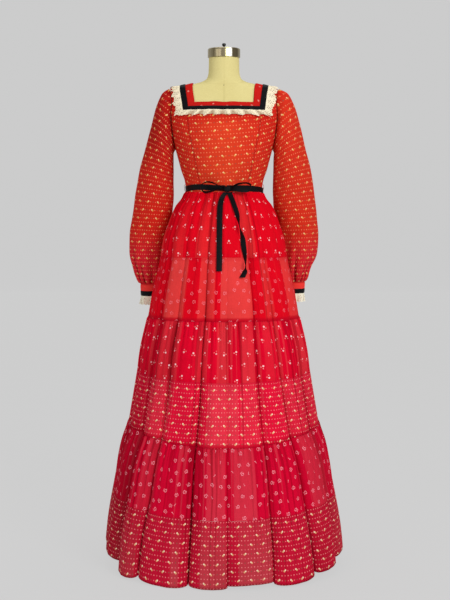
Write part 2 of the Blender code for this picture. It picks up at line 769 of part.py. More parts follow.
def build_cuff(word, side, cloth, ribbon, lace):
    top, bottom, hem = (np.array(row) for row in CUFF_ROWS[word])
    top[2] -= SEAM_GAP * 1.5
    ones = np.ones(CUFF_AROUND)
    middle = bottom + (top - bottom) * CUFF_RIBBON_SHARE
    outer = np.stack([cuff_ring(row, side, ones * row[3]) for row in (bottom, top)], 1)
    inner = np.stack([cuff_ring(row, side, ones * (row[3] - CLOTH)) for row in (bottom, top)], 1)
    wall(f"cuff_band_{word}", outer, inner, cloth, closed=True)
    rows = (bottom, middle)
    inner = np.stack([cuff_ring(row, side, ones * (row[3] + CUFF_RIBBON_LIFT)) for row in rows], 1)
    high = CUFF_RIBBON_LIFT + RIBBON
    outer = np.stack([cuff_ring(row, side, ones * (row[3] + high)) for row in rows], 1)
    wall(f"cuff_ribbon_{word}", outer, inner, ribbon, closed=True)
    count = CUFF_LACE_WAVES * 4
    wave = np.sin(np.arange(count) * math.pi / 4) ** 2
    start = bottom.copy()
    start[2] -= SEAM_GAP
    start_radii = np.full(count, start[3] - CUFF_LACE_INSET)
    hem_radii = hem[3] + CUFF_LACE_DEPTH * (wave * 2 - 1)
    rings = ((hem, hem_radii), (start, start_radii))
    outer = np.stack([cuff_ring(row, side, radii) for row, radii in rings], 1)
    inner = np.stack([cuff_ring(row, side, radii - RIBBON) for row, radii in rings], 1)
    wall(f"cuff_lace_{word}", outer, inner, lace, closed=True)


# Belt, carriers and bow.


def belt_middle(angle):
    return BELT_FRONT - BELT_SIDE_DROP * np.sin(np.minimum(np.abs(angle), math.pi / 2)) ** 2


def build_belt(ribbon, thread):
    limit = math.pi * 2 - math.radians(BELT_OPEN_ANGLE)
    angles = np.linspace(math.radians(BELT_OPEN_ANGLE), limit, BELT_AROUND + 1)
    wrapped = np.where(angles > math.pi, angles - 2 * math.pi, angles)
    shares = np.array([-0.5, 0.5])
    heights = belt_middle(wrapped)[:, None] + BELT_WIDTH * shares
    grid = np.broadcast_to(wrapped[:, None], heights.shape)
    low = CLOTH + LAYER_GAP
    outer = on_torso(grid, heights, np.full(grid.shape, low + RIBBON))
    inner = on_torso(grid, heights, np.full(grid.shape, low))
    wall("waist_belt", outer, inner, ribbon)
    for side, word in SIDES:
        build_carrier(word, side, thread)


def build_carrier(word, side, thread):
    """A thread loop that holds the belt at the side seam."""
    angle = side * math.pi / 2
    middle = belt_middle(np.array(angle))
    half = BELT_WIDTH / 2 + CARRIER_MARGIN
    turns = np.radians([0, 15, 30, 50, 70, 90, 110, 130, 150, 165, 180])
    heights = middle - half * np.cos(turns)
    reach = CLOTH + LAYER_GAP + RIBBON + CARRIER_REACH
    base = CLOTH + SEAM_GAP * 2
    lifts = base + (reach - base) * np.sin(turns) ** 0.6
    spread = math.radians(CARRIER_HALF_TURN)
    angles = np.array([angle - spread, angle + spread])[:, None] * np.ones(len(turns))
    heights = np.broadcast_to(heights, angles.shape)
    lifts = np.broadcast_to(lifts, angles.shape)
    outer = on_torso(angles, heights, lifts + CARRIER_THICKNESS)
    inner = on_torso(angles, heights, lifts)
    wall(f"belt_carrier_{word}", outer, inner, thread)


def ribbon_wall(name, middle, across, width, material):
    """A ribbon along a middle line, with its width towards a direction at each point of the line."""
    across = unit(across)
    along = np.gradient(middle, axis=0)
    facing = unit(np.cross(along, across))
    reach = across * np.reshape(width, (-1, 1)) / 2
    edges = np.stack([middle - reach, middle + reach], 1)
    half = facing[:, None] * RIBBON / 2
    wall(name, edges + half, edges - half, material)


def build_bow(ribbon):
    front = torso_ring(np.array(0.0), np.array(KNOT_Z + BELT_WIDTH / 2))[1] - CLOTH - LAYER_GAP - RIBBON
    knot_back = front - SEAM_GAP / 2
    build_knot(ribbon, knot_back)
    for word, rows in LOOP_ROWS.items():
        table = column_table(LOOP_COLUMNS, *rows)
        y = knot_back - KNOT_SIZE[1] / 2 - table["forward"]
        middle = np.stack([table["x"], y, table["z"]], -1)
        turn = np.radians(table["turn"])
        across = np.stack([np.zeros(len(turn)), -np.cos(turn), np.sin(turn)], -1)
        ribbon_wall(f"bow_loop_{word}", middle, across, table["width"], ribbon)
    for word, rows in TAIL_ROWS.items():
        table = column_table(TAIL_COLUMNS, *rows)
        half_width = read(SKIRT, "half_width", table["z"])
        half_depth = read(SKIRT, "half_depth", table["z"])
        y = -half_depth * np.sqrt(1 - (table["x"] / half_width) ** 2) - TAIL_CLEARANCE
        turn = np.radians(table["turn"])
        y -= TAIL_WIDTH / 2 * np.abs(np.sin(turn))
        y = np.minimum(y, knot_back - TAIL_BEHIND_KNOT) - table["forward"]
        middle = np.stack([table["x"], y, table["z"]], -1)
        across = np.stack([np.cos(turn), np.sin(turn), np.zeros(len(turn))], -1)
        ribbon_wall(f"bow_tail_{word}", middle, across, TAIL_WIDTH, ribbon)


def build_knot(ribbon, back):
    """The knot: a pillow of ribbon with rounded edges."""
    width, depth, height = KNOT_SIZE
    points = []
    for share, size in KNOT_OUTLINES:
        for k in range(KNOT_SIDES):
            a = 2 * math.pi * k / KNOT_SIDES
            c, s = math.cos(a), math.sin(a)
            square = max(abs(c), abs(s)) ** -0.5
            x = KNOT_X + width / 2 * size * c * square
            z = KNOT_Z + height / 2 * size * s * square
            points.append((x, back - depth * share, z))
    solid("bow_knot", points, stacked_faces(len(KNOT_OUTLINES), KNOT_SIDES), ribbon)


# Zip.


def build_zip(metal):
    surface = on_torso(np.array(math.pi), np.array(ZIP_TOP), np.array(CLOTH + LAYER_GAP))
    y0 = float(surface[1])
    lean = slope_at_back(ZIP_TOP)
    build_slider(metal, y0, lean)
    hinge = bpy.data.objects.new("zip_pull_hinge", None)
    hinge.location = (0.0, y0 + SLIDER_SIZE[1] + BARREL_RADIUS + SEAM_GAP, ZIP_TOP)
    bpy.context.collection.objects.link(hinge)
    pull = build_pull(metal, lean)
    pull.parent = hinge


def slope_at_back(height):
    """How far the back leans outwards for each metre down."""
    step = 0.012
    above, below = (torso_ring(np.array(math.pi), np.array(height + d))[1] for d in (0.0, -step))
    return float(below - above) / step


def build_slider(metal, y0, lean):
    """A flat block whose back is raised into two lugs, as a grid of cells with a depth for each."""
    width, depth, height = SLIDER_SIZE
    xs = (-width / 2, -LUG_OUTER_X, -LUG_INNER_X, LUG_INNER_X, LUG_OUTER_X, width / 2)
    zs = (-height / 2, -LUG_HALF_HEIGHT, LUG_HALF_HEIGHT, height / 2)
    cells = np.full((len(xs) - 1, len(zs) - 1), depth)
    cells[1, 1] = cells[3, 1] = depth + LUG_REACH
    points, faces = [], []
    numbers = {}

    def at(i, j, reach):
        key = (i, j, reach)
        if key not in numbers:
            numbers[key] = len(points)
            points.append((xs[i], y0 + reach - lean * zs[j], ZIP_TOP + zs[j]))
        return numbers[key]

    for i in range(len(xs) - 1):
        for j in range(len(zs) - 1):
            ring = ((i, j), (i + 1, j), (i + 1, j + 1), (i, j + 1))
            beside = ((i, j - 1), (i + 1, j), (i, j + 1), (i - 1, j))
            high = cells[i, j]
            faces.append([at(*corner, high) for corner in ring[::-1]])
            faces.append([at(*corner, 0.0) for corner in ring])
            for k, (bi, bj) in enumerate(beside):
                inside = 0 <= bi < len(xs) - 1 and 0 <= bj < len(zs) - 1
                low = cells[bi, bj] if inside else 0.0
                start, end = ring[k], ring[(k + 1) % 4]
                if low < high:
                    faces.append([at(*start, high), at(*end, high), at(*end, low), at(*start, low)])
    solid("zip_slider", points, faces, metal)


def build_pull(metal, lean):
    """A tab with a round end, carried by a round barrel; its own frame has the hinge at the origin."""
    half = PULL_THICKNESS / 2
    open_turn = math.asin(half / BARREL_RADIUS)
    turns = np.linspace(open_turn, 2 * math.pi - open_turn, 15)
    down = unit(np.array([0.0, lean, -1.0]))
    out = unit(np.array([0.0, 1.0, lean]))
    shares = np.sin(np.linspace(-math.pi / 2, math.pi / 2, 11))
    points = []
    for share in shares:
        tip = PULL_LENGTH - PULL_HALF_WIDTH * (1 - math.sqrt(1 - share * share))
        outline = [(BARREL_RADIUS * math.cos(t), BARREL_RADIUS * math.sin(t)) for t in turns]
        outline += [(PULL_NECK, -half), (tip, -half), (tip, half), (PULL_NECK, half)]
        for along, away in outline:
            wide = BARREL_HALF_WIDTH if along <= PULL_NECK else PULL_HALF_WIDTH
            points.append(np.array([share * wide, 0, 0]) + down * along + out * away)
    return solid("zip_pull", points, stacked_faces(len(shares), len(turns) + 4), metal)


# Form and stand.


def build_form(linen, brass, black, metal):
    low = np.array([FORM_BOTTOM, 0.96, 1.04, 1.085])
    chest = np.array([1.237, 1.268, 1.300, 1.332, 1.362, 1.385, 1.401])
    neck = np.array([1.4125, 1.4185, 1.4235, 1.430, 1.437, 1.447, 1.465, FORM_TOP - SEAM_GAP])
    heights = np.concatenate([low, ROWS_UP, chest, neck])
    angles = np.arange(FORM_AROUND) * 2 * math.pi / FORM_AROUND
    grid, levels = np.meshgrid(angles, heights, indexing="ij")
    points = on_torso(grid, levels, np.full(grid.shape, -FORM_CLEARANCE))
    points[:, 0, 2] = FORM_BOTTOM
    points[:, -1, 2] = FORM_TOP - SEAM_GAP
    rows = len(heights)
    faces = []
    for i in range(FORM_AROUND):
        j = (i + 1) % FORM_AROUND
        for k in range(rows - 1):
            a, b, c, d = i * rows + k, j * rows + k, j * rows + k + 1, i * rows + k + 1
            faces += [(a, b, c), (a, c, d)]
    faces.append(tuple(i * rows for i in range(FORM_AROUND))[::-1])
    faces.append(tuple(i * rows + rows - 1 for i in range(FORM_AROUND)))
    solid("form_torso", points.reshape(-1, 3), faces, linen)
    dome = [(CAP_RADIUS - 0.0010, FORM_TOP), (CAP_RADIUS, FORM_TOP + 0.0012), (CAP_RADIUS, CAP_TOP - 0.0080)]
    dome += [(CAP_RADIUS - 0.0022, CAP_TOP - 0.0045), (CAP_RADIUS * 0.70, CAP_TOP - 0.0015), (0.010, CAP_TOP)]
    turned("form_neck_cap", dome, 28, brass)
    base = CAP_TOP + SEAM_GAP
    knob = [(0.0035, base), (0.0035, base + 0.0035), (0.0055, base + 0.0045), (0.0060, base + 0.0085)]
    knob += [(0.0040, KNOB_TOP)]
    turned("form_knob", knob, 14, black)
    pole = [(POLE_RADIUS, BASE_THICKNESS + SEAM_GAP), (POLE_RADIUS, FORM_BOTTOM - SEAM_GAP)]
    turned("stand_pole", pole, 20, metal)
    plate = [(BASE_RADIUS, 0.0), (BASE_RADIUS, BASE_THICKNESS - BASE_CHAMFER)]
    plate += [(BASE_RADIUS - BASE_CHAMFER, BASE_THICKNESS)]
    turned("stand_base", plate, 40, metal)


def build():
    for thing in list(bpy.data.objects):
        bpy.data.objects.remove(thing)
    bodice_cloth = finish("red flowered voile", (0.56, 0.032, 0.014), 0.75)
    skirt_cloth = finish("crimson voile", (0.58, 0.012, 0.026), 0.72)
    lower_cloth = finish("crimson spotted voile", (0.55, 0.022, 0.050), 0.74)
    ribbon = finish("black satin ribbon", (0.010, 0.011, 0.016), 0.32)
    lace = finish("ivory eyelet lace", (0.82, 0.76, 0.62), 0.80)
    linen = finish("yellow linen", (0.78, 0.72, 0.38), 0.85)
    brass = finish("pale brass", (0.70, 0.60, 0.36), 0.22, 1.0)
    black = finish("black plastic", (0.015, 0.015, 0.015), 0.35)
    metal = finish("dark painted steel", (0.03, 0.03, 0.032), 0.45, 0.6)
    nickel = finish("red enamelled zip metal", (0.40, 0.02, 0.02), 0.35, 0.7)
    build_bodice(bodice_cloth)
    build_neckline(bodice_cloth, ribbon, lace)
    build_skirt((skirt_cloth, skirt_cloth, skirt_cloth, lower_cloth, lower_cloth, lower_cloth))
    for side, word in SIDES:
        build_sleeve(word, side, bodice_cloth)
        build_cuff(word, side, bodice_cloth, ribbon, lace)
    build_belt(ribbon, bodice_cloth)
    build_bow(ribbon)
    build_zip(nickel)
    build_form(linen, brass, black, metal)


build()
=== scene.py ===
import math

import bpy
import numpy as np
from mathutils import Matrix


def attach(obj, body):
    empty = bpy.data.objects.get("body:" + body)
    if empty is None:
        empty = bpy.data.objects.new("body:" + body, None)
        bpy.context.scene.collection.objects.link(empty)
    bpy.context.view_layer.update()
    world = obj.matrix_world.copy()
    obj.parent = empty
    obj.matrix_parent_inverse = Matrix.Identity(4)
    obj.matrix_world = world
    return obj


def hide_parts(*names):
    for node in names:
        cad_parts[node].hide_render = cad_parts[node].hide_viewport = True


# A long red voile dress with a tiered skirt, on a linen dress form. Metres throughout: the dress
# faces -Y, +X is the viewer's right and the floor is Z = 0.

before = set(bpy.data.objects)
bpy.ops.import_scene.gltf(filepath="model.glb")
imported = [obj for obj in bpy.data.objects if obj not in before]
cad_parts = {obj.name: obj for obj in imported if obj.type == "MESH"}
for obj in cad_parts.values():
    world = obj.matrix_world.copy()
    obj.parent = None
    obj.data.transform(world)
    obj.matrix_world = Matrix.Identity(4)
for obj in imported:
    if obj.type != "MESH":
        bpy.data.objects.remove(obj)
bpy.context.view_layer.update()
print("stage: frame loaded")


def columnTable(names, *rows):
    # one array for each named column
    return dict(zip(names.split(), np.array(rows, float).T))


# sizes shared with the solids: level sections of the body, skirt and sleeves

bodySections = columnTable(
    "height halfWidth front back squareness",
    (0.880, 0.136, 0.092, 0.106, 0.00),
    (0.960, 0.140, 0.096, 0.110, 0.00),
    (1.040, 0.128, 0.094, 0.100, 0.00),
    (1.085, 0.1165, 0.091, 0.090, 0.00),
    (1.112, 0.1115, 0.091, 0.086, 0.00),
    (1.128, 0.1130, 0.0925, 0.086, 0.01),
    (1.147, 0.1165, 0.097, 0.087, 0.02),
    (1.176, 0.1265, 0.107, 0.089, 0.03),
    (1.206, 0.1345, 0.116, 0.093, 0.03),
    (1.237, 0.1425, 0.120, 0.097, 0.02),
    (1.262, 0.1500, 0.118, 0.100, 0.01),
    (1.295, 0.1580, 0.110, 0.103, 0.00),
    (1.325, 0.1635, 0.098, 0.104, 0.00),
    (1.350, 0.1655, 0.084, 0.102, 0.00),
    (1.375, 0.1660, 0.066, 0.096, 0.00),
    (1.395, 0.1650, 0.054, 0.085, 0.00),
    (1.4125, 0.1580, 0.0465, 0.070, 0.00),
    (1.420, 0.1370, 0.0462, 0.061, 0.00),
    (1.424, 0.1210, 0.0463, 0.057, 0.00),
    (1.430, 0.0960, 0.0465, 0.052, 0.00),
    (1.437, 0.0670, 0.0465, 0.048, 0.00),
    (1.447, 0.0515, 0.0462, 0.0462, 0.00),
    (1.465, 0.0468, 0.0458, 0.0458, 0.00),
    (1.507, 0.0458, 0.0455, 0.0455, 0.00),
)
princessLine = columnTable(
    "height x",
    (1.112, 0.066),
    (1.180, 0.079),
    (1.245, 0.093),
    (1.295, 0.103),
    (1.330, 0.1065),
    (1.3595, 0.1044),
)
skirtSections = columnTable(
    "height halfWidth halfDepth foldShare",
    (0.010, 0.3660, 0.334, 1.00),
    (0.109, 0.3570, 0.326, 0.92),
    (0.234, 0.3350, 0.306, 0.82),
    (0.358, 0.3080, 0.282, 0.72),
    (0.411, 0.2920, 0.266, 0.66),
    (0.482, 0.2790, 0.254, 0.62),
    (0.604, 0.2570, 0.234, 0.54),
    (0.726, 0.2310, 0.211, 0.46),
    (0.814, 0.2150, 0.197, 0.40),
    (0.920, 0.1900, 0.174, 0.30),
    (0.965, 0.1830, 0.165, 0.25),
    (1.019, 0.1650, 0.147, 0.17),
    (1.069, 0.1430, 0.125, 0.08),
    (1.092, 0.1240, 0.1060, 0.02),
    (1.112, 0.1140, 0.0937, 0.00),
)
# valleys between the skirt's folds: angle from the front at the waist and the hem, depth at the hem,
# how dark the painted shade down the valley is and how far down, as a share of the skirt, it starts, and how
# dark the painted shade over the whole fold after it hangs
skirtFolds = columnTable(
    "topAngle hemAngle depth shadow start tone",
    (-86, -84, 0.026, 0.5, 0.2, 0.40),
    (-60, -57, 0.034, 0.7, 0.05, 0.10),
    (-37, -41, 0.028, 0.55, 0.1, 0.0),
    (-14, -17, 0.034, 0.95, 0.02, 0.0),
    (3, 2, 0.013, 0.25, 0.5, 0.0),
    (24, 22.5, 0.024, 0.85, 0.05, 0.0),
    (38, 45, 0.030, 0.6, 0.1, 0.08),
    (62, 63, 0.026, 0.4, 0.3, 0.12),
    (86, 87, 0.028, 0.5, 0.2, 0.3),
    (113, 112, 0.034, 0.7, 0.1, 0.1),
    (138, 140, 0.030, 0.5, 0.2, 0.0),
    (166, 165, 0.034, 0.8, 0.05, 0.1),
    (194, 196, 0.030, 0.5, 0.2, 0.0),
    (221, 220, 0.036, 0.8, 0.1, 0.1),
    (248, 249, 0.028, 0.5, 0.2, 0.3),
)
foldCount = len(skirtFolds["depth"])
sleeveNames = "outerX outerZ innerX innerZ middleY halfDepth"
sleeveSections = {
    "left": (
        (0.1800, 1.404, 0.1500, 1.226, 0.004, 0.052),
        (0.2000, 1.366, 0.1505, 1.212, 0.006, 0.056),
        (0.2170, 1.307, 0.1505, 1.192, 0.010, 0.058),
        (0.2380, 1.236, 0.1495, 1.160, 0.020, 0.057),
        (0.2550, 1.177, 0.1500, 1.120, 0.031, 0.056),
        (0.2660, 1.117, 0.1530, 1.082, 0.044, 0.054),
        (0.2760, 1.045, 0.1590, 1.030, 0.061, 0.053),
        (0.2890, 0.980, 0.1680, 0.972, 0.080, 0.052),
        (0.2925, 0.920, 0.1750, 0.918, 0.095, 0.050),
        (0.2860, 0.868, 0.1830, 0.868, 0.107, 0.047),
        (0.2720, 0.840, 0.1910, 0.840, 0.114, 0.040),
        (0.2590, 0.8270, 0.2020, 0.8270, 0.1170, 0.0285),
    ),
    "right": (
        (0.1860, 1.404, 0.1490, 1.226, 0.004, 0.053),
        (0.2080, 1.366, 0.1480, 1.211, 0.006, 0.058),
        (0.2260, 1.307, 0.1475, 1.190, 0.010, 0.061),
        (0.2450, 1.236, 0.1465, 1.156, 0.020, 0.060),
        (0.2610, 1.177, 0.1460, 1.116, 0.033, 0.059),
        (0.2720, 1.117, 0.1480, 1.078, 0.048, 0.056),
        (0.2820, 1.045, 0.1560, 1.028, 0.066, 0.054),
        (0.2900, 0.980, 0.1650, 0.972, 0.084, 0.052),
        (0.2880, 0.920, 0.1700, 0.918, 0.098, 0.050),
        (0.2740, 0.872, 0.1760, 0.872, 0.109, 0.047),
        (0.2620, 0.846, 0.1840, 0.846, 0.115, 0.040),
        (0.2505, 0.8330, 0.1935, 0.8330, 0.1170, 0.0285),
    ),
}
waist = 1.112
bothSides = ((-1, "left"), (1, "right"))
clothLift = 0.0013  # outer side of the cloth, off the body
seamGap = 0.0003


# helpers for surfaces


def smoothCurve(at, knots, values):
    # cubic through the values at the knots, with harmonic-mean slopes so it never overshoots
    step = np.diff(knots)
    slope = np.diff(values, axis=0) / step.reshape((-1,) + (1,) * (values.ndim - 1))
    tangent = np.empty_like(values)
    tangent[0], tangent[-1] = slope[0], slope[-1]
    same = slope[:-1] * slope[1:] > 0
    both = np.where(same, slope[:-1] + slope[1:], 1.0)
    tangent[1:-1] = np.where(same, 2 * slope[:-1] * slope[1:] / both, 0.0)
    at = np.clip(at, knots[0], knots[-1])
    i = np.clip(np.searchsorted(knots, at) - 1, 0, len(step) - 1)
    t = (at - knots[i]) / step[i]
    gap = step[i]
    extra = (1,) * (values.ndim - 1)
    t, gap = t.reshape(t.shape + extra), gap.reshape(gap.shape + extra)
    return (
        values[i] * (1 + 2 * t) * (1 - t) ** 2
        + tangent[i] * gap * t * (1 - t) ** 2
        + values[i + 1] * t * t * (3 - 2 * t)
        - tangent[i + 1] * gap * t * t * (1 - t)
    )


def readTable(table, column, at):
    return smoothCurve(np.asarray(at, float), table["height"], table[column])


def unit(vectors):
    return vectors / np.maximum(np.linalg.norm(vectors, axis=-1, keepdims=True), 1e-12)


def ease(low, high, at):
    # 0 below low, 1 above high, an S between
    t = np.clip((at - low) / (high - low), 0, 1)
    return t * t * (3 - 2 * t)


def softNoise(at, seed, period=997):
    # seeded values from -1 to 1 at whole numbers, joined by S curves, repeating after the period
    values = np.random.default_rng(seed).uniform(-1, 1, period)
    whole = np.floor(at).astype(int)
    part = at - whole
    blend = part * part * (3 - 2 * part)
    return values[whole % period] * (1 - blend) + values[(whole + 1) % period] * blend


def clothNoise(u, v, seed, period=101):
    # the same in two directions, on a square of seeded values
    values = np.random.default_rng(seed).uniform(-1, 1, (period, period))
    iu, iv = np.floor(u).astype(int), np.floor(v).astype(int)
    fu, fv = u - iu, v - iv
    fu, fv = fu * fu * (3 - 2 * fu), fv * fv * (3 - 2 * fv)
    a = values[iu % period, iv % period] * (1 - fu) + values[(iu + 1) % period, iv % period] * fu
    b = values[iu % period, (iv + 1) % period] * (1 - fu) + values[(iu + 1) % period, (iv + 1) % period] * fu
    return a * (1 - fv) + b * fv


def bodyRing(angle, height):
    # level section: x = halfWidth sin a, y = -depth cos a, both swelled by squareness sin^2 2a
    bulge = 1 + readTable(bodySections, "squareness", height) * np.sin(2 * angle) ** 2
    front, back = readTable(bodySections, "front", height), readTable(bodySections, "back", height)
    depth = np.where(np.cos(angle) > 0, front, back)
    x = readTable(bodySections, "halfWidth", height) * np.sin(angle) * bulge
    return np.stack([x, -depth * np.cos(angle) * bulge, np.broadcast_to(height, x.shape)], -1)


def onBody(angle, height, lift=0.0):
    # the body's point moved out along its normal by lift
    angle, height = np.broadcast_arrays(np.asarray(angle, float), np.asarray(height, float))
    step = 1e-4
    along = bodyRing(angle + step, height) - bodyRing(angle - step, height)
    up = bodyRing(angle, height + step) - bodyRing(angle, height - step)
    lift = np.broadcast_to(np.asarray(lift, float), angle.shape)
    return bodyRing(angle, height) + unit(np.cross(along, up)) * lift[..., None]


def bodyAngle(x, height):
    # the front angle at which the section reaches x, by repeated correction for the bulge
    ratio = np.clip(x / readTable(bodySections, "halfWidth", height), -1, 1)
    angle = np.arcsin(ratio)
    for _ in range(12):
        bulge = 1 + readTable(bodySections, "squareness", height) * np.sin(2 * angle) ** 2
        angle = np.arcsin(np.clip(ratio / bulge, -1, 1))
    return angle


ridgeHeights = np.linspace(1.375, 1.447, 400)
ridgeWidths = readTable(bodySections, "halfWidth", ridgeHeights)


def ridgeHeight(x):
    # the shoulder's top line
    return np.interp(-np.abs(x), -ridgeWidths, ridgeHeights)


def lengthsAlong(points, axis):
    # running length of a grid's lines along one axis, from 0
    steps = np.linalg.norm(np.diff(points, axis=axis), axis=-1)
    lead = np.zeros_like(np.take(steps, [0], axis=axis))
    return np.concatenate([lead, np.cumsum(steps, axis=axis)], axis=axis)


def clothMap(points, column):
    # u = length along each row from one column, v = length up that column
    u = lengthsAlong(points, 0)
    u = u - u[column][None]
    v = lengthsAlong(points, 1)[column]
    return np.stack([u, np.broadcast_to(v, u.shape)], -1)


def turnMap(uv, degrees):
    c, s = math.cos(math.radians(degrees)), math.sin(math.radians(degrees))
    return np.stack([uv[..., 0] * c - uv[..., 1] * s, uv[..., 0] * s + uv[..., 1] * c], -1)


def stacked(*parts):
    # arrays of one shape, or that spread to one, as the last axis of a grid
    return np.stack(np.broadcast_arrays(*parts), -1)


def meshPiece(name, mesh, material):
    mesh.materials.append(material)
    mesh.shade_smooth()
    piece = bpy.data.objects.new(name, mesh)
    bpy.context.collection.objects.link(piece)
    return piece


def standFor(piece, node, body="root"):
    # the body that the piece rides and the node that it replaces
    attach(piece, body)
    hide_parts(node)


def gridPiece(name, points, uv, material, closed=False, inward=False, values=None, keep=None):
    # a mesh over a grid (columns, rows): each cell a quad, closed joins the last column to the first;
    # a closed grid's uv has one more column than its points
    columns, rows = points.shape[:2]
    spans = columns if closed else columns - 1
    i, j = np.meshgrid(np.arange(spans), np.arange(rows - 1), indexing="ij")
    i, j = i.ravel(), j.ravel()
    if keep is not None:
        chosen = keep[i, j]
        i, j = i[chosen], j[chosen]
    corners = [(i, j), (i + 1, j), (i + 1, j + 1), (i, j + 1)]
    if inward:
        corners = corners[::-1]
    faces = np.stack([(a % columns) * rows + b for a, b in corners], 1)
    maps = np.stack([uv[a, b] for a, b in corners], 1)
    used, faces = np.unique(faces, return_inverse=True)
    faces = faces.reshape(-1, 4)
    mesh = bpy.data.meshes.new(name)
    mesh.from_pydata(points.reshape(-1, 3)[used].tolist(), [], faces.tolist())
    layer = mesh.uv_layers.new(name="clothMap")
    layer.data.foreach_set("uv", maps.reshape(-1).astype(np.float32))
    for label, numbers in (values or {}).items():
        spot = mesh.attributes.new(label, "FLOAT", "POINT")
        flat = np.broadcast_to(numbers, (columns, rows)).reshape(-1)[used]
        spot.data.foreach_set("value", flat.astype(np.float32))
    return meshPiece(name, mesh, material)


def spunPiece(name, profile, sides, material, node):
    # a closed outline of radius and height, bottom to top, turned about an upright line; its ends are poles
    angle = np.arange(sides) * 2 * math.pi / sides
    radius, height = np.array(profile, float).T
    x, y = radius * np.cos(angle)[:, None], radius * np.sin(angle)[:, None]
    ring = np.stack([x, y, np.broadcast_to(height, x.shape)], -1)
    rows = len(height)
    points = ring.reshape(-1, 3).tolist()
    faces = []
    i = np.arange(sides)
    for k in range(rows - 1):
        j = (i + 1) % sides
        faces += np.stack([i * rows + k, j * rows + k, j * rows + k + 1, i * rows + k + 1], 1).tolist()
    bottom, top = len(points), len(points) + 1
    points += [[0.0, 0.0, float(height[0])], [0.0, 0.0, float(height[-1])]]
    j = (i + 1) % sides
    faces += np.stack([j * rows, i * rows, np.full(sides, bottom)], 1).tolist()
    faces += np.stack([i * rows + rows - 1, j * rows + rows - 1, np.full(sides, top)], 1).tolist()
    mesh = bpy.data.meshes.new(name)
    mesh.from_pydata(points, [], faces)
    piece = meshPiece(name, mesh, material)
    mesh.set_sharp_from_angle(angle=math.radians(50))
    standFor(piece, node)


def declareCloth(piece, node, points, closed=False):
    # the surface's area, summed over its cells but not used further; then the piece rides the root and replaces
    # its node
    loop = np.concatenate([points, points[:1]]) if closed else points
    a, b, c, d = loop[:-1, :-1], loop[1:, :-1], loop[1:, 1:], loop[:-1, 1:]
    area = float(np.linalg.norm(np.cross(b - a, d - a), axis=-1).sum() / 2)
    area += float(np.linalg.norm(np.cross(b - c, d - c), axis=-1).sum() / 2)
    standFor(piece, node)


# node helpers


class Flow:
    # one number flowing through a node tree; sums and products of flows become Math nodes

    def __init__(self, tree, socket):
        self.tree = tree
        self.socket = socket

    def op(self, kind, *others, clamp=False):
        node = self.tree.nodes.new("ShaderNodeMath")
        node.operation = kind
        node.use_clamp = clamp
        for place, value in enumerate((self, *others)):
            if isinstance(value, Flow):
                self.tree.links.new(value.socket, node.inputs[place])
            else:
                node.inputs[place].default_value = value
        return Flow(self.tree, node.outputs[0])

    def __add__(self, other):
        return self.op("ADD", other)

    def __sub__(self, other):
        return self.op("SUBTRACT", other)

    def __mul__(self, other):
        return self.op("MULTIPLY", other)

    def __truediv__(self, other):
        return self.op("DIVIDE", other)

    def size(self):
        return self.op("ABSOLUTE")

    def floor(self):
        return self.op("FLOOR")

    def part(self):
        return self.op("FRACT")

    def inside(self, limit, soft):
        # 1 where the number is under the limit, fading over soft
        return ((self * -1 + limit) / soft + 0.5).op("ADD", 0.0, clamp=True)


def newGroup(name, outputs):
    # a shader group with the cloth's map as input, as (tree, map's socket, output sockets)
    tree = bpy.data.node_groups.new(name, "ShaderNodeTree")
    tree.interface.new_socket("Map", in_out="INPUT", socket_type="NodeSocketVector")
    for label in outputs.split():
        tree.interface.new_socket(label, in_out="OUTPUT", socket_type="NodeSocketFloat")
    entry = tree.nodes.new("NodeGroupInput")
    leave = tree.nodes.new("NodeGroupOutput")
    return tree, entry.outputs["Map"], leave.inputs


def place(tree, kind, **settings):
    node = tree.nodes.new(kind)
    for key, value in settings.items():
        setattr(node, key, value)
    return node


def split(tree, vector):
    node = tree.nodes.new("ShaderNodeSeparateXYZ")
    tree.links.new(vector.socket if isinstance(vector, Flow) else vector, node.inputs[0])
    return [Flow(tree, out) for out in node.outputs]


def joined(tree, x, y, z=0.0):
    node = tree.nodes.new("ShaderNodeCombineXYZ")
    for socket, value in zip(node.inputs, (x, y, z)):
        if isinstance(value, Flow):
            tree.links.new(value.socket, socket)
        else:
            socket.default_value = value
    return node.outputs[0]


def mixed(tree, mask, below, above):
    # a colour mixed towards another by a mask
    node = tree.nodes.new("ShaderNodeMix")
    node.data_type = "RGBA"
    tree.links.new(mask.socket, node.inputs["Factor"])
    for socket, value in ((node.inputs[6], below), (node.inputs[7], above)):
        if isinstance(value, tuple):
            socket.default_value = (*value, 1)
        else:
            tree.links.new(value, socket)
    return node.outputs[2]


def noiseOf(tree, where, scale=1.0, detail=2.0):
    node = place(tree, "ShaderNodeTexNoise")
    node.inputs["Scale"].default_value = scale
    node.inputs["Detail"].default_value = detail
    tree.links.new(where, node.inputs["Vector"])
    return Flow(tree, node.outputs["Fac"])


def spot(x, y, cx, cy, radius, soft):
    # a soft round dot
    dx, dy = x - cx, y - cy
    return (dx * dx + dy * dy).op("SQRT").inside(radius, soft)


def bar(x, y, cx, cy, halfLong, halfWide, soft):
    # a soft upright bar
    return (x - cx).size().inside(halfWide, soft) * (y - cy).size().inside(halfLong, soft)


